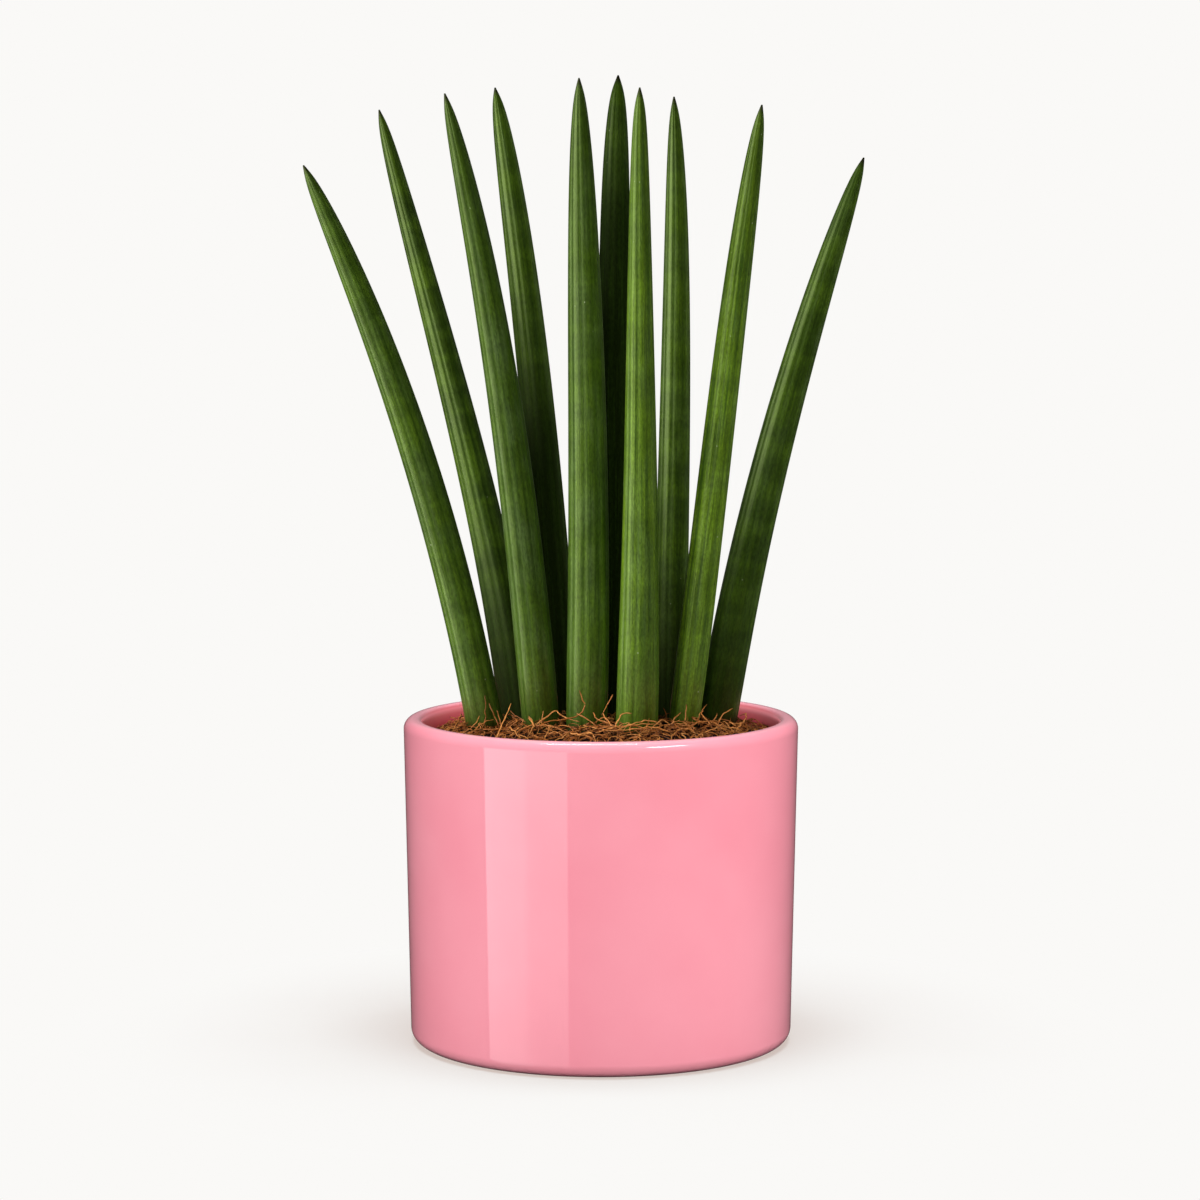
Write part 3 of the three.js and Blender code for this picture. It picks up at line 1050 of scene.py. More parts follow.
@dataclass
class Leaf:
    """One round leaf. Sizes are in millimetres.

    Attributes:
        foot: Where the centre line leaves the coir, as x and y at foot_height.
        tip: The point of the spine.
        bow: How far the lower and the upper half bow to the right.
        radius: The full radius.
        fullness: How early, seen from the tip, the leaf is nearly at its full radius.
        flare: The share of its width that grows steadily from tip to foot instead.
        finish: The skin.
        foot_height: The height at which the blade ends and the buried butt begins.
        pinch: How much thinner the foot is drawn in. Below 0 it swells.
        pinch_share: The share of the length that is drawn in.
        flutes: How many shallow flutes run round it.
        flute_depth: Their depth, as a share of the radius.
        flute_sharpness: How narrow they are.
        channel_depth: The depth of the foot's channel, as a share of the radius.
        channel_narrowness: How narrow the channel is.
        channel_fade: How fast the channel fades towards the tip.
        tip_radius: The radius at the very tip.
        taper_power: How blunt the top is. Below 1 it is blunter.
        nib_share: The share of the length over which the top ends in a straight cone.
        butt_depth: How deep the butt goes.
        butt_lean: How much of the leaf's lean the butt keeps.
        butt_taper: How much thinner the butt's end is, as a share.
        spine_length: The length of the brown point.
        spine_fade: The share of it over which the brown fades.
        foot_fade: The heights above the coir between which the foot's colour fades out.
        line_samples: How many samples measure the centre line's length.
        tip_crowding: How closely the rings stand at the tip. At 1 they are even.
    """

    foot: Span
    tip: Point
    bow: Span
    radius: float
    fullness: float
    flare: float
    finish: LeafFinish
    foot_height: float = 122.0
    pinch: float = 0.4
    pinch_share: float = 0.15
    flutes: int = 9
    flute_depth: float = 0.034
    flute_sharpness: float = 2.5
    channel_depth: float = 0.1
    channel_narrowness: int = 9
    channel_fade: float = 4.0
    tip_radius: float = 0.28
    taper_power: float = 0.65
    nib_share: float = 0.024
    butt_depth: float = 28.0
    butt_lean: float = 0.3
    butt_taper: float = 0.12
    spine_length: float = 4.0
    spine_fade: float = 2 / 3
    foot_fade: Span = (0.0, 60.0)
    sides: int = 108
    blade_rings: int = 150
    butt_rings: int = 8
    line_samples: int = 600
    tip_crowding: float = 1.5

    def blade_corners(self) -> Array:
        """The corners of the centre line above the coir: thirds of the chord, bowed."""
        start = np.array([*self.foot, self.foot_height])
        end = np.array(self.tip)
        chord = end - start
        bow = np.array([[self.bow[0], 0, 0], [self.bow[1], 0, 0]])
        return np.stack([start, start + chord / 3 + bow[0], start + chord * 2 / 3 + bow[1], end])

    def butt_corners(self) -> Array:
        """The corners of the centre line below the coir, from its end up to the coir."""
        blade = self.blade_corners()
        start = blade[0]
        slope = bezier_slope(blade, np.zeros(1))[0]
        slope = slope * (self.butt_depth / slope[2])
        end = start - slope * np.array([self.butt_lean, self.butt_lean, 1.0])
        rise = np.array([0, 0, self.butt_depth / 3])
        return np.stack([end, end + rise, start - slope / 3, start])

    def size(self, share: Array) -> Array:
        """The mean radius at a share of the length from the tip.

        Part of the width rises as 1 less a falling exponential of the share's power, and the
        flare rises with the share itself. The nib at the tip runs smoothly into a straight
        cone, and the foot is drawn in by a squared ramp.

        Args:
            share: Shares of the length, from 0 at the tip to 1 at the coir.

        Returns:
            The radii.
        """
        full = (share**3 + self.nib_share**3) ** (1 / 3)
        whole = 1 - math.exp(-self.fullness)
        rise = (1 - np.exp(-self.fullness * full**self.taper_power)) / whole
        width = (rise * (1 - self.flare) + self.flare * full) * share / full
        drawn = np.maximum(0, (share - 1 + self.pinch_share) / self.pinch_share) ** 2
        return self.tip_radius + (self.radius - self.tip_radius) * width - self.pinch * drawn

    def stations(self) -> tuple[Array, Array, Array, Array, Array]:
        """The rings of the leaf from its tip to its buried end.

        Rings above the coir stand at shares of the centre line's length from the tip that are
        evenly spaced numbers raised to a power, which draws them together at the tip.

        Returns:
            Centres, upward directions, mean radii, how much of the foot's channel shows, and
            distances from the tip along the centre line.
        """
        blade = self.blade_corners()
        fine = np.linspace(0, 1, self.line_samples)
        steps = np.linalg.norm(np.diff(bezier(blade, fine), axis=0), axis=1)
        run = np.concatenate([[0], np.cumsum(steps)])
        share = np.linspace(0, 1, self.blade_rings + 1) ** self.tip_crowding
        at = np.interp((1 - share) * run[-1], run, fine)
        butt = self.butt_corners()
        down = np.linspace(1, 0, self.butt_rings + 1)[1:]
        size = self.size(share)
        buried = size[-1] * (1 - self.butt_taper * (1 - down) ** 2)
        return (
            np.concatenate([bezier(blade, at), bezier(butt, down)]),
            np.concatenate([bezier_slope(blade, at), bezier_slope(butt, down)]),
            np.concatenate([size, buried]),
            np.concatenate([share**self.channel_fade, np.ones(len(down))]),
            np.concatenate([share * run[-1], run[-1] + (1 - down) * self.butt_depth]),
        )

    def groove(self, angle: Array) -> Array:
        """How deep in a flute each angle lies: a raised cosine, narrowed by a power."""
        return ((1 - np.cos(self.flutes * angle)) / 2) ** self.flute_sharpness

    def build(self, name: str) -> bpy.types.Object:
        """Carries the fluted section along the centre line.

        At angle a the section reaches its mean radius times 1 less the flutes' depth and less
        the channel's, which faces the middle of the plant. Angle 0 points right and a quarter
        turn points to the front, square to the centre line.

        Args:
            name: The node that the leaf stands for.

        Returns:
            The leaf.
        """
        centre, direction, size, channel, distance = self.stations()
        angle = turns(self.sides)
        right = unit(np.cross(np.array([0, 1, 0]), direction))
        front = np.cross(right, direction)
        inward = math.atan2(self.foot[1], -self.foot[0])
        facing = np.maximum(0, np.cos(angle - inward)) ** self.channel_narrowness
        groove = self.groove(angle)
        cut = self.flute_depth * groove + self.channel_depth * channel[:, None] * facing
        reach = (size[:, None] * (1 - cut))[..., None]
        across, ahead = np.cos(angle)[:, None], np.sin(angle)[:, None]
        rings = centre[:, None] + reach * (across * right[:, None] + ahead * front[:, None])
        marks = {
            "blade": self._straightened(angle, distance),
            "marks": self._marks(groove, distance),
        }
        made = closed_tube(name + "_skin", rings, centre[[0, -1]], marks)
        return settle(made, self.finish.dress(), "leaf_green", name)

    def _straightened(self, angle: Array, distance: Array) -> Array:
        """Each point's place on a straight round bar, in metres, with Z from the tip down."""
        x = np.tile(self.radius * np.cos(angle), len(distance))
        y = np.tile(self.radius * np.sin(angle), len(distance))
        z = np.repeat(distance, self.sides)
        ends = np.array([[0, 0, 0], [0, 0, distance[-1]]])
        return np.concatenate([np.stack([x, y, z], -1), ends]) * MM

    def _marks(self, groove: Array, distance: Array) -> Array:
        """The masks of the grooves, the spine and the foot, one row to a point.

        Args:
            groove: How deep in a flute each side lies.
            distance: Each ring's distance from the tip.

        Returns:
            Rows of the three masks. The spine's is full up to its fade and then falls evenly,
            and the foot's is a smooth step between two heights above the coir.
        """
        spine = np.clip((1 - distance / self.spine_length) / self.spine_fade, 0, 1)
        low, high = self.foot_fade
        above = distance[self.blade_rings] - distance
        down = np.clip((high - above) / (high - low), 0, 1)
        foot = down**2 * (3 - 2 * down)
        deep = np.tile(groove, len(distance))
        table = [deep, np.repeat(spine, self.sides), np.repeat(foot, self.sides)]
        ends = np.array([[0, 1, 0], [0, 0, 1]])
        return np.concatenate([np.stack(table, -1), ends])

    def axis_at(self, height: Array) -> Array:
        """The centre line's x and y at heights near the coir.

        Args:
            height: The heights.

        Returns:
            An array with x and y in its last place.
        """
        centre = self.stations()[0][::-1]
        return np.stack([np.interp(height, centre[:, 2], centre[:, k]) for k in range(2)], -1)


class Foliage:
    """The ten leaves, from left to right.

    Attributes:
        leaves: The leaves.
    """

    def __init__(self) -> None:
        """Lists the leaves, each with its skin and its shape.

        A shape is the foot, the tip, the bow, the radius, the fullness and the flare. By the
        leaf's number, foot_fades gives the heights between which the painted shade on the foot
        of a leaf behind others fades out, and pinches gives a foot that isn't drawn in as the
        others are.
        """
        # A skin's seventh number, where given, is the painted shade on the foot of a leaf behind
        # others.
        skins = [
            LeafFinish("leaf_skin_01", 0.82, 0.20, 0.18, 0.30, 0.3, tip_tone=0.95),
            LeafFinish("leaf_skin_02", 0.90, 0.20, 0.32, 0.25, 1.1, 0.93),
            LeafFinish("leaf_skin_03", 0.80, 0.10, 0.10, 0.55, 2.7),
            LeafFinish("leaf_skin_04", 0.95, 0.25, 0.18, 0.25, 3.9, 0.97, tip_tone=1.0),
            LeafFinish("leaf_skin_05", 0.92, 0.20, 0.14, 0.40, 4.2, tip_tone=0.62),
            LeafFinish("leaf_skin_06", 0.75, 0.15, 0.15, 0.20, 5.6, 0.98, 0.35, 1.0),
            LeafFinish("leaf_skin_07", 1.35, 0.60, 0.14, 0.25, 6.4),
            LeafFinish("leaf_skin_08", 1.08, 0.30, 0.20, 0.30, 7.3, 0.93),
            LeafFinish(
                "leaf_skin_09", 1.85, 0.70, 0.13, 0.20, 8.8, tip_tone=0.48, tip_length=110 * MM
            ),
            LeafFinish("leaf_skin_10", 0.94, 0.12, 0.20, 0.30, 9.5, 0.48, 0.68, 0.95),
        ]
        shapes = [
            ((-43.6, -9), (-109.5, -26, 332), (9.3, 10.7), 7.2, 2.5, 0.0),
            ((-30.4, 4), (-85, 34, 354), (8.0, 2.0), 8.4, 5.9, 0.6),
            ((-22.5, -15), (-56.5, -48, 357.5), (5.2, 7.6), 7.4, 2.2, 0.0),
            ((-15, 15), (-41, 50, 363), (3.4, 5.2), 7.5, 3.8, 0.15),
            ((-5.5, -17), (-8, -36, 363.5), (3, 1.1), 8.1, 2.5, 0.0),
            ((4, 6), (6.6, 30, 367), (1.5, -1.9), 6.8, 4.6, 0.0),
            ((13.3, -20), (14, -52, 359.5), (2.1, 0.1), 8.4, 8.0, 0.65),
            ((26.2, 8), (28, 34, 359), (0, 3.2), 6.7, 2.6, 0.0),
            ((31, -9), (59, -30, 354), (0.5, -2.1), 6.3, 3.0, 0.0),
            ((44, 6), (99.5, 14, 335.5), (-7, -6.5), 8.3, 2.7, 0.2),
        ]
        foot_fades = {2: (0, 110), 4: (100, 155), 6: (185, 228), 8: (10, 70), 10: (0, 90)}
        pinches = {1: -0.2}
        self.leaves = [
            Leaf(
                *shape,
                skin,
                pinch=pinches.get(number, Leaf.pinch),
                foot_fade=foot_fades.get(number, Leaf.foot_fade),
            )
            for number, (shape, skin) in enumerate(zip(shapes, skins), 1)
        ]

    def build(self) -> list[bpy.types.Object]:
        """Builds every leaf.

        Returns:
            The leaves, from left to right.
        """
        return [leaf.build(f"leaf_{i:02d}") for i, leaf in enumerate(self.leaves, 1)]

    def clear(self, points: Array, clearance: float) -> Array:
        """Moves points out of the leaves, level and straight away from each leaf's axis.

        Args:
            points: Points with x, y and z in their last place.
            clearance: The least distance that they keep from a leaf's side.

        Returns:
            The moved points.
        """
        moved = points.copy()
        for leaf in self.leaves:
            away = moved[..., :2] - leaf.axis_at(moved[..., 2])
            distance = np.linalg.norm(away, axis=-1, keepdims=True)
            need = leaf.radius + clearance
            shift = np.maximum(0, need - distance) * away / np.maximum(distance, TINY)
            moved[..., :2] += shift
        return moved


# ---- coir -------------------------------------------------------------------------------


class Layer(Enum):
    """How a layer of fibres lies."""

    PACKED = "packed"
    LOOSE = "loose"


@dataclass(frozen=True)
class FibreLayer:
    """Many fibres alike. Sizes are in millimetres.

    Attributes:
        name: The piece's name.
        layer: Whether the fibres lie flat and packed or arch and stand up.
        count: How many there are before those in a leaf's way are left out.
        length: The shortest and the longest.
        radius: The thinnest and the thickest.
        lift: The lowest and the highest base above the bed.
        crest: How far the middle may stand above the ends.
        turn: How far a fibre turns from end to end, in radians.
        ripple: How far it swings to each side as it goes, in radians.
        tone: The darkest and the lightest tone.
        seed: The seed of its draws.
        waves: The fewest and the most swings on a fibre.
        roll: How far it waves up and down.
        roll_waves: The fewest and the most of those waves.
        free_share: The share of loose fibres whose end stands up.
        free_rise: The least and the most that such an end rises.
        free_curl: How late along the fibre it rises. At 1 it rises evenly.
        thin_bias: How much commoner thin fibres are. At 1 all are as common.
        end_width: A fibre's width at its ends, as a share of the full width.
        tone_draw: The two powers of the beta draw that picks the tone.
        steps: How many points its centre line has.
        sides: How many sides its section has.
    """

    name: str
    layer: Layer
    count: int
    length: Span
    radius: Span
    lift: Span
    crest: float
    turn: float
    ripple: float
    tone: Span
    seed: int
    waves: Span = (0.6, 2.2)
    roll: float = 0.45
    roll_waves: Span = (0.5, 2.0)
    free_share: float = 0.16
    free_rise: Span = (1.0, 5.0)
    free_curl: float = 1.6
    thin_bias: float = 1.5
    end_width: float = 0.45
    tone_draw: Span = (1.4, 2.2)
    steps: int = 12
    sides: int = 3


@dataclass(frozen=True)
class Strand:
    """One fibre laid along listed points. Sizes are in millimetres.

    Attributes:
        points: Where it passes, from its root to its end.
        girth: How thick it is at the root, as a share of the thickest that a strand can be.
        tone: How light it is, from 0 to 1.
    """

    points: tuple[Point, ...]
    girth: float = 0.38
    tone: float = 0.75


STRANDS = (
    Strand(
        ((-43.5, -17, 121), (-43.5, -17.5, 125), (-43.3, -18, 129), (-43.5, -18, 134.5)), 0.34, 0.4
    ),
    Strand(
        ((-38, -20, 122), (-39.5, -19, 126), (-41, -18.5, 129), (-42, -17.5, 131.5)), 0.34, 0.45
    ),
    Strand(((-37, -21, 122), (-38, -20, 126), (-39, -19, 129)), 0.36, 0.5),
    Strand(
        ((-38.5, -41, 121.5), (-37, -36, 125), (-35, -30.5, 129), (-33.5, -26, 132.5)), 0.44, 0.95
    ),
    Strand(((-28, -24, 125), (-30.5, -22, 126.5), (-32.5, -21, 127.5), (-34, -20, 129)), 0.34, 0.4),
    Strand(
        ((-25, -36, 120), (-25.5, -30, 123.5), (-25.5, -26, 125.5), (-27, -24.5, 127.5)), 0.4, 0.7
    ),
    Strand(((-22.5, -27, 123), (-22, -26, 126), (-21.5, -24.5, 129.5)), 0.36, 0.6),
    Strand(
        (
            (-25, -29, 124),
            (-21, -27, 127),
            (-17, -25.5, 129.5),
            (-15.5, -26, 128.5),
            (-12.5, -27, 127),
            (-8, -29.5, 126),
        ),
        0.42,
        0.8,
    ),
    Strand(
        (
            (-24, -34, 124.5),
            (-20, -32, 126.3),
            (-15.5, -30.5, 126.8),
            (-10, -29, 127.6),
            (-7, -27.8, 129.5),
            (-6, -27.3, 132),
            (-7, -27.2, 134.5),
            (-8, -27, 137.5),
        ),
        0.4,
        0.55,
    ),
    Strand(((-9, -29, 129), (-6.5, -30.5, 128), (-4, -31.5, 126.5), (-1, -33, 124.5)), 0.38, 0.7),
    Strand(((4.5, -24, 135.5), (2.5, -25, 132), (0.7, -26.5, 128.8)), 0.34, 0.65),
    Strand(((0.7, -26.5, 128.8), (2, -29, 127), (4, -32, 125), (6, -35, 123)), 0.4, 0.75),
    Strand(((-2.8, -26, 129), (-1.5, -28.5, 127), (2, -31, 126), (6, -33, 124.5)), 0.38, 0.65),
    Strand(((4.5, -38, 123), (6, -35, 126.5), (8, -31.8, 129.2), (11.5, -30.5, 129.3)), 0.42, 0.9),
    Strand(((24, -16, 124), (24.5, -13.5, 127), (23.5, -12, 129)), 0.36, 0.5),
    Strand(((26.5, -21, 124), (28, -19.5, 126.3), (30, -18.3, 128)), 0.38, 0.75),
    Strand(((31.5, -20, 125), (32, -18.5, 128.5), (32, -17, 131)), 0.34, 0.7),
    Strand(((36, -20, 125), (37, -18.5, 127), (38.5, -17.5, 128.5)), 0.34, 0.6),
    Strand(
        (
            (42, -20, 122),
            (39.5, -17, 125.5),
            (38, -14, 126.5),
            (38.5, -12, 128.5),
            (40, -10, 130),
        ),
        0.38,
    ),
    Strand(((44, -10, 122), (45.5, -8, 125), (47.5, -7, 126.8), (50, -6, 128)), 0.38, 0.75),
    Strand(((22, -33, 126), (17, -36, 127.3), (12, -39.5, 126.5), (5, -44, 124.5)), 0.42, 0.9),
    Strand(((26, -40, 123.5), (19, -41, 125.5), (11, -43.5, 125), (2, -44, 124.5)), 0.42, 0.8),
    Strand(((-2, -42, 123.5), (6, -40, 125.5), (15, -38.5, 126.3), (23, -34, 125.5)), 0.4, 0.85),
    Strand(((-14, -45, 121), (-8, -40, 124.8), (-1, -37.5, 125.5), (6, -38, 124.5)), 0.4, 0.75),
    Strand(((-34, -36, 121), (-27, -33, 124.8), (-19, -34, 125), (-12, -38, 123)), 0.4, 0.7),
    Strand(((30, -31, 122), (36, -26, 125.2), (42, -24, 125), (48, -25, 121)), 0.38, 0.7),
    Strand(((50, -18, 121), (54, -10, 123.5), (55, -3, 125.5), (53, 3, 124)), 0.38, 0.65),
    Strand(((-56, -14, 120), (-54, -7, 123.5), (-53, 0, 125), (-54.5, 7, 122)), 0.38, 0.65),
    Strand(((10, 22, 123), (13, 26, 127), (18, 28, 130), (23, 27, 129.5)), 0.38, 0.7),
    Strand(((-6, 24, 123), (-3, 27, 127.5), (0, 32, 131), (-1, 37, 133)), 0.36, 0.7),
    Strand(((36, 20, 122), (37, 24, 126.5), (34, 29, 129), (29, 32, 128)), 0.36, 0.6),
    Strand(((-38, 16, 122), (-40, 20, 126), (-39, 25, 129.5), (-35, 29, 131)), 0.36, 0.75),
    Strand(((-48.5, -24, 123), (-46.5, -22, 125), (-45.5, -20, 127)), 0.32, 0.85),
    Strand(((-47.5, -30, 122.5), (-45, -27, 124.5), (-43, -25, 125.5), (-40, -23, 126)), 0.34, 0.8),
    Strand(((-34, -36, 125), (-32, -41, 124), (-29.5, -46, 122)), 0.36, 0.9),
    Strand(((-27, -27, 127), (-25.5, -31, 126), (-25, -36, 125), (-27, -44, 122.5)), 0.38, 0.9),
    Strand(((-21, -46, 121.5), (-19.5, -41, 124), (-18.5, -36, 125.5)), 0.34, 0.85),
    Strand(
        ((-12, -43, 124), (-9.5, -46, 123.6), (-6.5, -46.5, 123.8), (-2, -41, 124.8)), 0.42, 0.95
    ),
    Strand(((-6.5, -34, 125.2), (-3, -38, 125), (0.5, -40, 124.6), (3, -42, 124.2)), 0.4, 0.95),
    Strand(((-19.5, -42, 123), (-16.5, -42, 124), (-14, -45, 122.5)), 0.36, 0.8),
    Strand(((24, -30, 124), (27, -27, 125.2), (29.5, -24, 126)), 0.38, 0.85),
    Strand(((38, -31, 122), (41.5, -29, 123), (43.5, -26, 123.5), (45.5, -23, 124.5)), 0.38, 0.85),
    Strand(((26, -42, 122), (29, -37, 124), (32.5, -35, 124), (35.5, -37, 122.5)), 0.38, 0.85),
    Strand(((50.5, -22, 121), (52.5, -15, 123), (55, -8, 124.5)), 0.36, 0.8),
)


@dataclass
class Coir:
    """The coir mulch: a felted bed, layers of fibres, and listed strands.

    Sizes are in millimetres.

    Attributes:
        pot: The pot that it lies in.
        foliage: The leaves that stand in it.
        soil_top: The height of the potting mix under it.
        gap: The clearance between the pieces.
        crown: Its height in the middle, lumps apart.
        drop: How much lower it lies at the wall.
        fall_power: How late it falls towards the wall.
        lump: How far its lumps rise and sink.
        lump_lengths: The lengths that a radian of the lumps' four waves takes.
        crumb: How far the felt's crumbs rise and sink.
        crumb_waves: Radians to the millimetre of the crumbs' waves, to the right and back.
        crumb_bends: The same of the waves that bend them.
        crumb_wander: How far those bend them, in radians.
        sink: How far the felt lies under the coir's height.
        hole_floor: How far above its underside the felt ends in the holes round the leaves.
        push: How far a leaf may push a fibre before the fibre is left out.
        push_rounds: How often each fibre is pushed clear of all leaves.
        strand_radius: The root's radius of the thickest strand.
        strand_tone: The tone of the lightest strand.
        strand_taper: How much thinner a strand's end is, as a share.
        strand_gap: How far a strand keeps from a leaf.
        strand_turn: How far the next strand's sway is turned, in radians.
        sway: How far a strand sways from its points' smooth path.
        sway_pitch: Radians to the millimetre of that sway.
        sway_up: How much it sways upwards, as a share of the level sway.
        knot: How much thicker and thinner a strand gets at its knots, as a share.
        knot_pitch: Radians of the knots' wave on a whole strand.
        near_up: The direction that a fibre's section is levelled by, just off upright so that
            no fibre runs along it.
        least_step: What keeps the direction of a path from vanishing.
    """

    pot: Pot
    foliage: Foliage
    soil_top: float = 112.0
    gap: float = 0.3
    crown: float = 125.0
    drop: float = 8.6
    fall_power: float = 4.0
    lump: float = 0.8
    lump_lengths: tuple[float, float, float, float] = (6.0, 11.0, 7.0, 17.0)
    crumb: float = 0.35
    crumb_waves: Span = (1.9, 2.1)
    crumb_bends: Span = (0.8, 0.7)
    crumb_wander: float = 3.0
    sink: float = 3.6
    hole_floor: float = 1.0
    push: float = 2.5
    push_rounds: int = 3
    bed_rings: int = 110
    bed_sides: int = 300
    strand_sides: int = 6
    strand_steps: int = 28
    strand_radius: float = 0.66
    strand_tone: float = 0.9
    strand_taper: float = 0.45
    strand_gap: float = 0.15
    strand_turn: float = 2.4
    sway: float = 0.28
    sway_pitch: float = 1.3
    sway_up: float = 0.6
    knot: float = 0.15
    knot_pitch: float = 23.0
    near_up: Point = (0.02, 0.01, 1.0)
    least_step: float = 1e-9
    layers: tuple[FibreLayer, ...] = (
        FibreLayer(
            "coir_underlayer",
            Layer.PACKED,
            count=2200,
            length=(5, 13),
            radius=(0.15, 0.28),
            lift=(-3.9, -2.7),
            crest=0.9,
            turn=2.4,
            ripple=1.4,
            # near-dark tones: painted shade for the gaps under the top fibres
            tone=(0.0, 0.14),
            seed=11,
        ),
        FibreLayer(
            "coir_toplayer",
            Layer.LOOSE,
            count=1350,
            length=(6, 19),
            radius=(0.17, 0.32),
            lift=(-3.0, -0.6),
            crest=2.8,
            turn=3.4,
            ripple=1.9,
            tone=(0.2, 1.0),
            seed=23,
        ),
    )

    def height(self, x: Array, y: Array) -> Array:
        """The coir's height: a crown less a power of the radius, with waves across it.

        Args:
            x: Places to the right.
            y: Places to the back.

        Returns:
            The heights.
        """
        fall = (np.hypot(x, y) / self.pot.inner(self.soil_top)) ** self.fall_power
        first, second, third, fourth = self.lump_lengths
        lumps = np.sin(x / first + y / second) * np.cos(y / third - x / fourth)
        return self.crown - self.drop * fall + self.lump * lumps

    def build(self) -> list[bpy.types.Object]:
        """Builds the bed, the layers and the strands.

        Returns:
            The pieces. The bed stands for the coir's node, and the others lie on it.
        """
        # the felt's near-black colours are painted shade for the deep gaps between the fibres
        felt = EarthFinish(
            "coir_felt",
            dark=(0.005, 0.002, 0.001),
            light=(0.045, 0.014, 0.004),
            crumbs=Pattern(420, 5, 0.6),
            grit=Pattern(1680, 3),
            relief=0.8 * MM,
        )
        fibre = CoirFinish("coir_fibre").dress()
        pieces = [self._bed(felt.dress())]
        pieces += [self._layer(layer, fibre) for layer in self.layers]
        pieces.append(self._strands(fibre))
        return pieces

    def _bed(self, material: bpy.types.Material) -> bpy.types.Object:
        """The felted bed: a plug whose lumpy top sinks away round each leaf.

        Args:
            material: Its material.

        Returns:
            The bed.
        """
        base = self.soil_top + self.gap
        edge = self.pot.inner(base) - self.gap
        angle = turns(self.bed_sides)
        radius = np.linspace(edge, 0, self.bed_rings + 1)[:-1, None]
        x, y = radius * np.cos(angle), radius * np.sin(angle)
        z = self.height(x, y) - self.sink + self._crumbs(x, y)
        top = np.stack([x, y, np.maximum(z, base + self.gap)], -1)
        for leaf in self.foliage.leaves:
            away = np.linalg.norm(top[..., :2] - leaf.axis_at(top[..., 2]), axis=-1)
            hole = away < leaf.radius + self.gap
            top[..., 2] = np.where(hole, base + self.hole_floor, top[..., 2])
        foot = np.stack([x[0], y[0], np.full(self.bed_sides, base)], -1)[None]
        poles = np.array([[0, 0, base], [0, 0, top[-1, :, 2].mean()]])
        made = closed_tube("coir_bed", np.concatenate([foot, top]), poles)
        return settle(made, material, "coir_fibre", "coir_mulch")

    def _crumbs(self, x: Array, y: Array) -> Array:
        """The felt's crumbs: two sines multiplied, each bent by a sine across it.

        Args:
            x: Places to the right.
            y: Places to the back.

        Returns:
            How far the crumbs rise above the felt or sink into it.
        """
        wander = self.crumb_wander
        right = np.sin(x * self.crumb_waves[0] + wander * np.sin(y * self.crumb_bends[0]))
        back = np.sin(y * self.crumb_waves[1] + wander * np.sin(x * self.crumb_bends[1]))
        return self.crumb * (right * back)

    def _paths(self, layer: FibreLayer, draw: np.random.Generator) -> Array:
        """The fibres' centre lines.

        The middles lie in a sunflower's order, each turned by the golden angle and as far out
        as the square root of its rank. From there a heading that turns steadily and swings to
        and fro is summed up into a path, which follows the bed with a lift, an arch and small
        waves. In a loose layer the ends of some fibres stand up. A fibre that a leaf would push
        too far is left out.

        Args:
            layer: The fibres' sizes.
            draw: Where the random draws come from.

        Returns:
            An array of fibres, points and x, y, z.
        """
        count = layer.count

        def spread(span: Span) -> Array:
            """An even draw from the span for each fibre, as a column."""
            return draw.uniform(*span, count)[:, None]

        once_round = (0, 2 * math.pi)
        rank = (np.arange(count) + draw.random(count)) / count
        bearing = np.arange(count) * math.pi * (3 - math.sqrt(5))
        reach = self.pot.inner(self.soil_top) * np.sqrt(rank)
        along = np.linspace(-0.5, 0.5, layer.steps)[None]
        length = spread(layer.length)
        heading = spread(once_round)
        turn = draw.normal(0, layer.turn, count)[:, None]
        swing = draw.normal(0, layer.ripple, count)[:, None]
        phase = spread(once_round)
        waves = spread(layer.waves)
        course = heading + turn * along + swing * np.sin(2 * math.pi * waves * along + phase)
        step = length / (layer.steps - 1)
        x = np.cumsum(np.cos(course) * step, axis=1)
        y = np.cumsum(np.sin(course) * step, axis=1)
        x += (reach * np.cos(bearing))[:, None] - x.mean(axis=1, keepdims=True)
        y += (reach * np.sin(bearing))[:, None] - y.mean(axis=1, keepdims=True)
        lift = spread(layer.lift)
        arch = spread((0, layer.crest)) * np.cos(math.pi * along)
        roll = layer.roll * np.sin(2 * math.pi * spread(layer.roll_waves) * along + phase)
        if layer.layer is Layer.LOOSE:
            free = draw.random(count)[:, None] < layer.free_share
            rise = spread(layer.free_rise)
            lift = lift + free * rise * np.clip(along * 2, 0, 1) ** layer.free_curl
        margin = layer.radius[1]
        x, y = self._inside_wall(x, y, margin)
        laid = np.stack([x, y, self.height(x, y) + lift + arch + roll], -1)
        paths = laid
        for _ in range(self.push_rounds):
            paths = self.foliage.clear(paths, margin)
        x, y = self._inside_wall(paths[..., 0], paths[..., 1], margin)
        paths = np.stack([x, y, paths[..., 2]], -1)
        moved = np.linalg.norm(paths - laid, axis=-1).max(axis=1)
        return paths[moved < self.push]

    def _inside_wall(self, x: Array, y: Array, margin: float) -> tuple[Array, Array]:
        """Draws points in towards the axis until they are clear of the pot's wall.

        Args:
            x: Places to the right.
            y: Places to the back.
            margin: How far they stay from the wall.

        Returns:
            The new x and y.
        """
        limit = self.pot.inner(self.soil_top) - margin
        inset = np.minimum(1, limit / np.maximum(np.hypot(x, y), TINY))
        return x * inset, y * inset

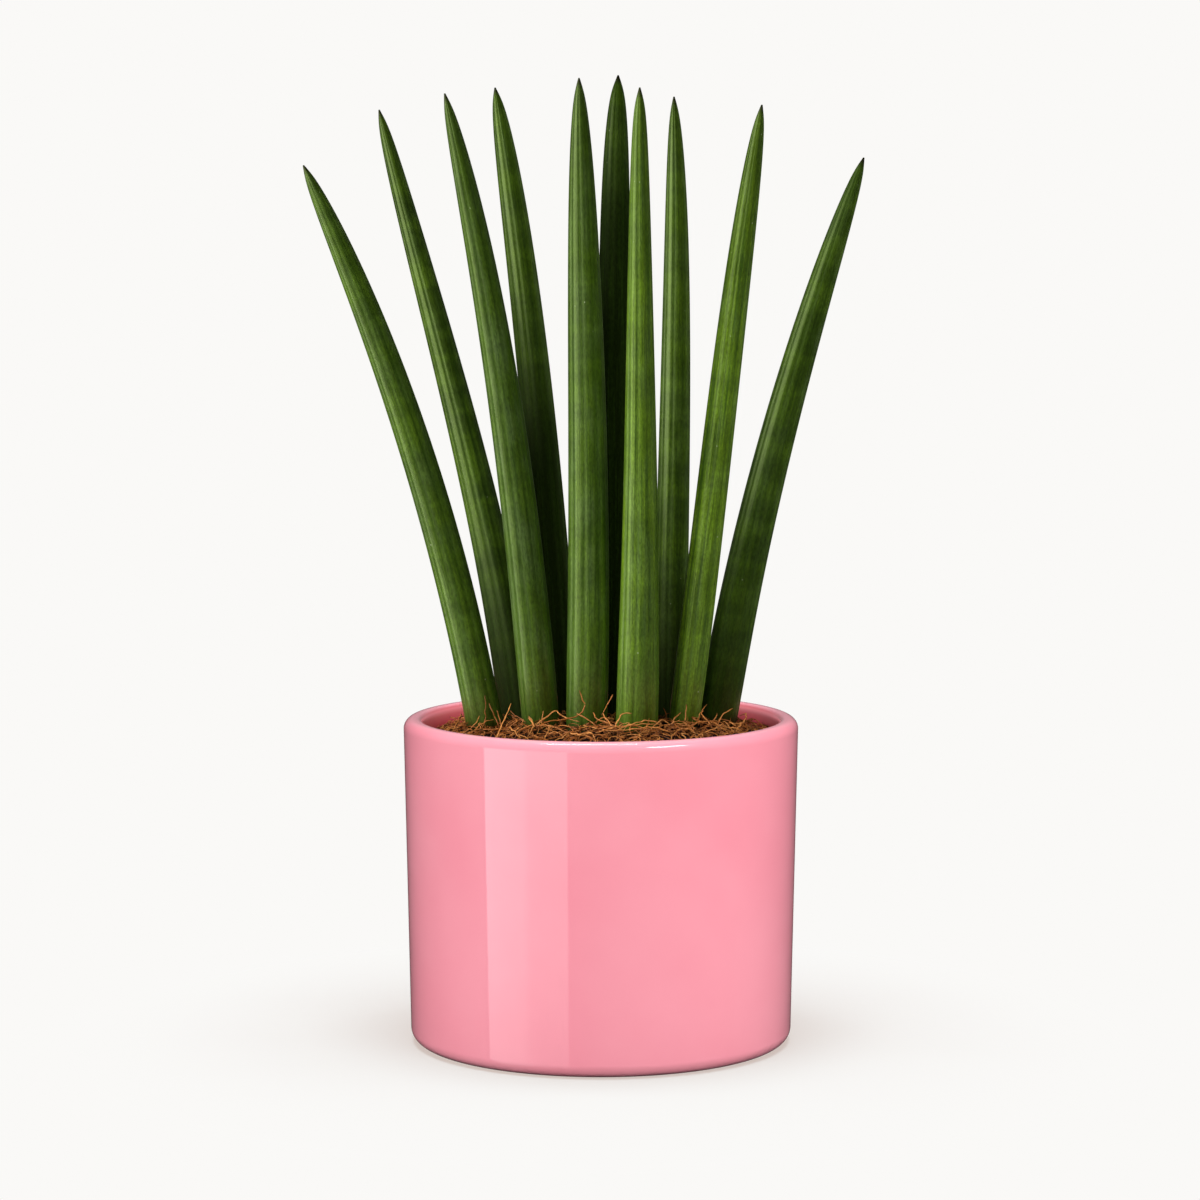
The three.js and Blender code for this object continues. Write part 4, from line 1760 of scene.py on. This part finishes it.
    def _sweep(self, paths: Array, radius: Array, sides: int) -> Array:
        """Carries a round section along each path.

        At each point the section stands square to the path, with its first axis level.

        Args:
            paths: An array of fibres, points and x, y, z.
            radius: The radius of each fibre at each point.
            sides: How many sides the section has.

        Returns:
            An array of fibres, rings, sides and x, y, z.
        """
        ahead = unit(np.gradient(paths, axis=1) + self.least_step)
        level = unit(np.cross(ahead, np.array(self.near_up)))
        up = np.cross(level, ahead)
        angle = turns(sides)
        across, over = np.cos(angle)[:, None], np.sin(angle)[:, None]
        spoke = across * level[:, :, None] + over * up[:, :, None]
        return paths[:, :, None] + radius[:, :, None, None] * spoke

    def _fibres(
        self,
        name: str,
        paths: Array,
        radius: Array,
        tone: Array,
        sides: int,
        material: bpy.types.Material,
    ) -> bpy.types.Object:
        """One piece of many fibres.

        Args:
            name: The piece's name.
            paths: An array of fibres, points and x, y, z.
            radius: Each fibre's radius at each point.
            tone: Each fibre's tone, from 0 to 1.
            sides: How many sides a fibre has.
            material: The fibres' material.

        Returns:
            The piece.
        """
        count, steps = paths.shape[:2]
        rings = self._sweep(paths, radius, sides)
        one = tube_faces(steps, sides)
        start = np.arange(sides)[None, ::-1]
        end = np.arange(sides)[None] + (steps - 1) * sides
        offset = (np.arange(count) * steps * sides)[:, None, None]
        faces = [
            (one[None] + offset).reshape(-1, 4),
            (np.concatenate([start, end])[None] + offset).reshape(-1, sides),
        ]
        share = np.broadcast_to(np.linspace(0, 1, steps)[None, :, None], rings.shape[:3])
        own = np.broadcast_to(tone[:, None, None], rings.shape[:3])
        strand = np.stack([own, share, 0 * share], -1).reshape(-1, 3)
        made = build_mesh(name, rings.reshape(-1, 3), faces, {"strand": strand})
        return settle(made, material, "coir_fibre")

    def _layer(self, layer: FibreLayer, material: bpy.types.Material) -> bpy.types.Object:
        """Builds a layer of fibres, each thinner towards its ends.

        Args:
            layer: The fibres' sizes.
            material: Their material.

        Returns:
            The piece.
        """
        draw = np.random.default_rng(layer.seed)
        paths = self._paths(layer, draw)
        share = np.linspace(0, 1, layer.steps)[None]
        thick = draw.uniform(0, 1, len(paths))[:, None] ** layer.thin_bias
        full = layer.radius[0] + (layer.radius[1] - layer.radius[0]) * thick
        middle = np.sin(math.pi * share) ** 0.5
        radius = full * (layer.end_width + (1 - layer.end_width) * middle)
        low, high = layer.tone
        tone = low + (high - low) * draw.beta(*layer.tone_draw, len(paths))
        return self._fibres(layer.name, paths, radius, tone, layer.sides, material)

    def _strands(self, material: bpy.types.Material) -> bpy.types.Object:
        """Builds the listed strands.

        Each passes smoothly through its points on a Catmull-Rom spline: between two points the
        path is a cubic whose end slopes are half the step between the neighbours. A sine wave
        that dies out at both ends sways it a little to one side, and another makes it thicker
        and thinner by turns.

        Args:
            material: Their material.

        Returns:
            The piece.
        """
        paths = np.stack([self._smooth(np.array(strand.points, float)) for strand in STRANDS])
        share = np.linspace(0, 1, self.strand_steps)[None]
        turn = np.arange(len(STRANDS))[:, None] * self.strand_turn
        length = np.linalg.norm(np.diff(paths, axis=1), axis=-1).sum(axis=1)[:, None]
        wave = np.sin(share * length * self.sway_pitch + turn)
        bend = self.sway * wave * np.sin(math.pi * share)
        aside = np.stack([np.cos(turn), np.sin(turn), np.full_like(turn, self.sway_up)], -1)
        paths = self.foliage.clear(paths + bend[..., None] * aside, self.strand_gap)
        knots = 1 + self.knot * np.sin(share * self.knot_pitch + turn)
        root = self.strand_radius * np.array([strand.girth for strand in STRANDS])[:, None]
        radius = root * knots * (1 - self.strand_taper * share**2)
        tone = self.strand_tone * np.array([strand.tone for strand in STRANDS])
        return self._fibres("coir_strands", paths, radius, tone, self.strand_sides, material)

    def _smooth(self, points: Array) -> Array:
        """Evenly numbered points on the Catmull-Rom spline through a few points."""
        before = 2 * points[:1] - points[1:2]
        after = 2 * points[-1:] - points[-2:-1]
        padded = np.concatenate([before, points, after])
        at = np.linspace(0, len(points) - 1, self.strand_steps)
        piece = np.minimum(at.astype(int), len(points) - 2)
        t = (at - piece)[:, None]
        a, b, c, d = (padded[piece + k] for k in range(4))
        square = (2 * a - 5 * b + 4 * c - d) * t**2
        cube = (3 * b - a - 3 * c + d) * t**3
        return 0.5 * (2 * b + (c - a) * t + square + cube)


# ---- studio -----------------------------------------------------------------------------


class Lit(Enum):
    """Which of the pieces a light falls on."""

    FRONT_ROW = "front row of leaves"
    BESIDE = "leaves beside and coir"
    PLANT = "leaves and coir"
    COIR = "coir"
    POT = "pot"
    SHELL = "leaves and pot"
    OBJECT = "plant and pot"
    FLOOR = "floor"


@dataclass(frozen=True)
class Softbox:
    """A soft rectangular light aimed at the plant. Sizes are in metres, angles in degrees.

    Attributes:
        name: Its name.
        azimuth: How far to the right it stands of the camera's side.
        elevation: How high it stands above the level of its target.
        distance: How far away.
        size: Its width and height.
        radiance: How bright its face is.
        lit: What it falls on.
        shaded_by: What stands in its way.
        target: The height that it is aimed at.
        shines: Whether it shows in glossy surfaces.
    """

    name: str
    azimuth: float
    elevation: float
    distance: float
    size: Span
    radiance: float
    lit: Lit = Lit.OBJECT
    shaded_by: Lit = Lit.OBJECT
    target: float = 0.15
    shines: bool = True

    def build(self, lit: bpy.types.Collection, shading: bpy.types.Collection) -> None:
        """Makes the light. Its power is its radiance times its area times pi.

        The floor never shades, so that a light that reaches below it isn't cut off by it.

        Args:
            lit: The pieces that it falls on.
            shading: The pieces that stand in its way.
        """
        light = bpy.data.lights.new(self.name, "AREA")
        light.shape = "RECTANGLE"
        light.size, light.size_y = self.size
        light.energy = self.radiance * self.size[0] * self.size[1] * math.pi
        made = bpy.data.objects.new(self.name, light)
        turn, rise = math.radians(self.azimuth), math.radians(self.elevation)
        away = Vector(
            (math.sin(turn) * math.cos(rise), -math.cos(turn) * math.cos(rise), math.sin(rise))
        )
        made.location = Vector((0, 0, self.target)) + away * self.distance
        made.rotation_euler = away.to_track_quat("Z", "Y").to_euler()
        made.visible_camera = False
        made.visible_glossy = self.shines
        bpy.context.scene.collection.objects.link(made)
        made.light_linking.blocker_collection = shading
        made.light_linking.receiver_collection = lit


@dataclass
class Studio:
    """A plain pale room: floor, backdrop, lights and camera.

    Sizes are in metres, angles in degrees, and the lens and its sensor in millimetres.

    Attributes:
        backdrop: The colour behind everything.
        ambient: How strong the even light from all round is.
        floor_fade: The radii between which the floor fades into the backdrop.
        floor_albedo: How much light the floor throws back at the object.
        floor_glow: What the camera sees of the floor where no light falls on it.
        floor_light: How bright the floor's light is where nothing stands in its way.
        card_azimuth: The bearings between which the curved card stands.
        card_height: Its lower and upper edge.
        card_radiance: How bright it is at its brightest.
        card_slope: How much of that it loses evenly from left to right.
        card_drop: How much more it loses at once, a little past the middle.
        card_drop_place: The shares of its width between which it loses that.
        card_foot: How bright its lower part is against its upper part.
        card_foot_place: The shares of its height between which that changes.
        back_width: How far the back card reaches to each side of straight behind.
        back_rise: The elevations between which it stands.
        row_leaves: The leaves of the front row, by number.
        side_leaves: The leaves beside them.
        flag_tops: The flags' tops, by the number of the leaf whose foot each shades.
        screened_key: The light that those leaves get past their flags.
    """

    backdrop: Colour = (0.956, 0.947, 0.930)
    ambient: float = 0.04
    floor_radius: float = 2.0
    floor_middle: float = 0.02
    floor_thickness: float = 0.001
    floor_rings: int = 24
    floor_sides: int = 96
    floor_fade: Span = (0.11, 0.20)
    floor_albedo: float = 0.68
    floor_glow: Colour = (0.616, 0.517, 0.473)
    floor_light: float = 1.02
    card_radius: float = 1.0
    card_azimuth: Span = (-68.4, -18.5)
    card_height: Span = (-0.75, 0.26)
    card_radiance: float = 3.1
    card_slope: float = 0.18
    card_drop: float = 0.25
    card_drop_place: Span = (0.46, 0.58)
    card_foot: float = 0.5
    card_foot_place: Span = (0.40, 0.63)
    card_columns: int = 40
    back_radius: float = 1.6
    back_width: float = 25.0
    back_rise: Span = (6.0, 60.0)
    back_radiance: float = 0.15
    back_columns: int = 24
    row_leaves: tuple[int, ...] = (3, 5, 7)
    side_leaves: tuple[int, ...] = (1, 9)
    flag_tops: Mapping[int, float] = field(
        default_factory=lambda: {2: 0.177, 4: 0.295, 6: 0.355, 8: 0.225, 10: 0.255}
    )
    flag_azimuth: float = -64.0
    flag_distance: float = 0.13
    flag_width: float = 0.5
    flag_cloth: Colour = (0.01, 0.01, 0.01)
    screened_key: Softbox = Softbox("screened_key", -64.0, 8.0, 1.4, (1.4, 1.2), 4.0, target=0.30)
    lens: float = 113.53
    sensor: float = 36.0
    camera_reach: Span = (0.05, 20.0)
    camera_distance: float = 1.4275
    camera_height: float = 0.3115
    camera_pitch: float = 5.715
    camera_shift: float = -0.00075
    softboxes: tuple[Softbox, ...] = (
        Softbox("coir_top", 0.0, 84.0, 1.4, (0.7, 0.7), 0.9, Lit.COIR, shines=False),
        Softbox("coir_key", -40.0, 40.0, 1.3, (0.32, 0.32), 29.5, Lit.COIR),
        Softbox("pot_top", 180.0, 62.0, 1.4, (1.0, 1.0), 3.0, Lit.POT, Lit.POT, shines=False),
        Softbox("floor_top", 0.0, 83.0, 1.4, (0.85, 0.85), 11.1, Lit.FLOOR),
        Softbox("pot_front", 0.0, 25.0, 1.5, (1.7, 1.2), 2.25, Lit.POT, Lit.POT, shines=False),
        Softbox("pot_left", -78.0, 25.0, 1.5, (1.7, 1.2), 3.0, Lit.POT, shines=False),
        Softbox("pot_right", 78.0, 25.0, 1.5, (1.7, 1.2), 2.6, Lit.POT, shines=False),
        Softbox("row_key", -60.0, 0.0, 1.4, (1.45, 1.8), 4.0, Lit.FRONT_ROW, Lit.POT, 0.20),
        Softbox("side_key", -62.0, 0.0, 1.4, (1.5, 1.8), 4.1, Lit.BESIDE, target=0.20),
        Softbox("leaf_fill", 10.0, 25.0, 1.5, (1.4, 0.9), 0.85, Lit.PLANT, shines=False),
        Softbox(
            "edge_fill", 110.0, 10.0, 1.4, (0.8, 1.2), 3.0, Lit.PLANT, target=0.25, shines=False
        ),
        Softbox("back_fill", 180.0, 12.0, 1.5, (1.0, 1.0), 1.6, Lit.SHELL, shines=False),
        Softbox("rim_light", 51.0, 52.0, 1.3, (0.42, 0.18), 19.0, Lit.POT, Lit.POT, 0.124),
        Softbox("rim_strip", 190.5, 75.7, 1.3, (0.56, 0.10), 24.0, Lit.POT, Lit.POT, 0.124),
    )

    def build(
        self,
        pot: bpy.types.Object,
        leaves: Sequence[bpy.types.Object],
        coir: Sequence[bpy.types.Object],
    ) -> None:
        """Builds the whole set.

        Each light is kept to its own pieces, and the pot throws no pink light on the others.

        Args:
            pot: The pot.
            leaves: The leaves, from left to right.
            coir: The pieces of the coir.
        """
        view = bpy.context.scene.view_settings
        view.view_transform = "Standard"
        view.look = "None"
        self._world()
        floor = self._floor()
        row = [leaves[i - 1] for i in self.row_leaves]
        beside = [leaves[i - 1] for i in self.side_leaves]
        pot.visible_diffuse = False
        members = {
            Lit.FRONT_ROW: row,
            Lit.BESIDE: [*beside, *coir],
            Lit.PLANT: [*leaves, *coir],
            Lit.COIR: coir,
            Lit.POT: [pot],
            Lit.SHELL: [pot, *leaves],
            Lit.OBJECT: [pot, *leaves, *coir],
            Lit.FLOOR: [floor],
        }
        groups = {lit: self._group(lit.value, pieces) for lit, pieces in members.items()}
        self._card(groups[Lit.POT])
        self._back_card()
        for softbox in self.softboxes:
            softbox.build(groups[softbox.lit], groups[softbox.shaded_by])
        for number, top in self.flag_tops.items():
            leaf = self._group(f"screened leaf {number}", [leaves[number - 1]])
            flag = self._group(f"screen {number}", [self._flag(f"flag_{number}", top)])
            self.screened_key.build(leaf, flag)
        self._camera()
        log.info("studio: %d softboxes", len(self.softboxes))

    @staticmethod
    def _group(name: str, members: Sequence[bpy.types.Object]) -> bpy.types.Collection:
        """A collection that a light can be kept to."""
        group = bpy.data.collections.new(name)
        for member in members:
            group.objects.link(member)
        return group

    def _world(self) -> None:
        """The backdrop as the camera sees it, and a dimmer even light from all round."""
        world = bpy.data.worlds.new("studio")
        world.use_nodes = True
        bpy.context.scene.world = world
        graph = Graph(world.node_tree)
        given = graph.node("ShaderNodeBackground", {}, {0: rgba(WHITE), 1: self.ambient})
        seen = graph.node("ShaderNodeBackground", {}, {0: rgba(self.backdrop), 1: 1.0})
        both = graph.parted(given, seen)
        graph.node("ShaderNodeOutputWorld", {}, {0: both.outputs[0]})

    def _floor(self) -> bpy.types.Object:
        """A round pale floor, thin and closed.

        Returns:
            The floor.
        """
        angle = turns(self.floor_sides)
        radius = np.linspace(self.floor_middle, self.floor_radius, self.floor_rings)[::-1, None]
        x, y = radius * np.cos(angle), radius * np.sin(angle)
        top = np.stack([x, y, 0 * x], -1) / MM
        down = np.array([0, 0, -self.floor_thickness]) / MM
        rings = np.concatenate([top[:1] + down, top])
        floor = closed_tube("floor", rings, np.stack([down, 0 * down]))
        floor.data.materials.append(self._floor_paint())
        floor.visible_glossy = False
        return floor

    def _floor_paint(self) -> bpy.types.Material:
        """The floor's material.

        To the object it is plain and matte. The camera sees a dimmer matte floor with a warm
        glow of its own, so that shadows stay warm and where the full light falls the two
        together are as bright as the backdrop, and further out it sees the backdrop's colour.

        Returns:
            The material.
        """
        material, graph = new_material("pale_floor")
        x, y, _ = graph.parts(graph.place())
        far = ((x * x + y * y) ** 0.5).step(*self.floor_fade)
        pairs = zip(self.backdrop, self.floor_glow)
        dim = graph.matte(tuple((whole - glow) / self.floor_light for whole, glow in pairs))
        glow = graph.glow(self.floor_glow)
        near = graph.node("ShaderNodeAddShader", {}, {0: dim.outputs[0], 1: glow.outputs[0]})
        seen = graph.either(far, near, graph.glow(self.backdrop))
        graph.cover(graph.parted(graph.matte((self.floor_albedo,) * 3), seen))
        return material

    @staticmethod
    def _hang(
        name: str, places: Array, marks: Mapping[str, Array] | None = None
    ) -> tuple[bpy.types.Object, Graph]:
        """Hangs a glowing card that shows only in glossy surfaces.

        Args:
            name: The card's name.
            places: An array of columns, its lower and upper edge, and x, y, z in metres.
            marks: Vectors to keep at the points.

        Returns:
            The card and its material's graph, which has no glow yet.
        """
        first = np.arange(len(places) - 1) * 2
        quads = np.stack([first, first + 1, first + 3, first + 2], -1)
        card = build_mesh(name, places.reshape(-1, 3) / MM, [quads], marks)
        material, graph = new_material(name + "_glow")
        card.data.materials.append(material)
        card.visible_camera = card.visible_diffuse = card.visible_shadow = False
        return card, graph

    def _card(self, receivers: bpy.types.Collection) -> None:
        """A tall curved white card that shows only as a soft-edged reflection in the glaze.

        Its brightness drops a little past the middle, and again towards the bottom.

        Args:
            receivers: What it may be reflected in.
        """
        turn = np.radians(np.linspace(*self.card_azimuth, self.card_columns))[:, None]
        z = np.array(self.card_height)[None] + 0 * turn
        radius = self.card_radius + 0 * z
        places = np.stack([radius * np.sin(turn), -radius * np.cos(turn), z], -1)
        share = np.linspace(0, 1, self.card_columns)
        grid = np.stack(np.meshgrid(share, [0, 1], 0, indexing="ij"), -1)
        marks = {"card": grid.reshape(-1, 3)}
        card, graph = self._hang("reflection_card", places, marks)
        across, up, _ = graph.parts(graph.attribute("card"))
        drop = across.step(*self.card_drop_place) * self.card_drop
        foot = up.step(*self.card_foot_place).between((self.card_foot, 1.0))
        strength = (1 - across * self.card_slope - drop) * foot * self.card_radiance
        graph.cover(graph.glow(WHITE, strength))
        card.light_linking.receiver_collection = receivers

    def _back_card(self) -> None:
        """A white card behind the plant that shows only in glossy edges."""
        ends = (180 - self.back_width, 180 + self.back_width)
        turn = np.radians(np.linspace(*ends, self.back_columns))[:, None]
        rise = np.radians(np.array(self.back_rise))[None]
        x, y = np.sin(turn) * np.cos(rise), -np.cos(turn) * np.cos(rise)
        places = self.back_radius * np.stack([x, y, np.sin(rise) + 0 * turn], -1)
        _, graph = self._hang("back_card", places)
        graph.cover(graph.glow(WHITE, self.back_radiance))

    def _flag(self, name: str, top: float) -> bpy.types.Object:
        """A flag that nothing sees and that only shades the foot of a leaf.

        Args:
            name: Its name.
            top: How high it reaches.

        Returns:
            The flag.
        """
        turn = math.radians(self.flag_azimuth)
        out = np.array([math.sin(turn), -math.cos(turn), 0]) * self.flag_distance
        side = np.array([math.cos(turn), math.sin(turn), 0]) * self.flag_width / 2
        up = np.array([0, 0, top])
        sheet = np.stack([out - side, out + side, out + side + up, out - side + up]) / MM
        flag = build_mesh(name, sheet, [np.array([[0, 1, 2, 3]])])
        material, graph = new_material("black_cloth")
        graph.cover(graph.matte(self.flag_cloth))
        flag.data.materials.append(material)
        flag.visible_camera = flag.visible_diffuse = flag.visible_glossy = False
        flag.visible_transmission = False
        return flag

    def _camera(self) -> None:
        """The camera, a little above the leaves' middle and tipped down."""
        lens = bpy.data.cameras.new("camera")
        lens.lens = self.lens
        lens.sensor_width = self.sensor
        lens.clip_start, lens.clip_end = self.camera_reach
        lens.shift_x = self.camera_shift
        camera = bpy.data.objects.new("camera", lens)
        camera.location = (0.0, -self.camera_distance, self.camera_height)
        camera.rotation_euler = (math.radians(90 - self.camera_pitch), 0.0, 0.0)
        bpy.context.scene.collection.objects.link(camera)
        bpy.context.scene.camera = camera


def dress_soil() -> None:
    """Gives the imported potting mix, which stays as it is under the coir, a crumbly finish."""
    finish = EarthFinish(
        "potting_mix",
        dark=(0.008, 0.005, 0.003),
        light=(0.06, 0.036, 0.020),
        crumbs=Pattern(260, 5, 0.6),
        grit=Pattern(1040, 3),
        relief=1.5 * MM,
    )
    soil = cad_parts["potting_mix"]
    soil.data.materials.clear()
    soil.data.materials.append(finish.dress())
    log.info("potting_mix: dressed")


def main() -> None:
    """Builds every piece round the frame, then the studio."""
    logging.basicConfig(level=logging.INFO, format="%(name)s %(message)s")
    pot = Pot()
    foliage = Foliage()
    coir = Coir(pot, foliage)
    glazed = pot.build()
    leaves = foliage.build()
    mulch = coir.build()
    dress_soil()
    Studio().build(glazed, leaves, mulch)
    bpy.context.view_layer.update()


if __name__ == "__main__":
    main()
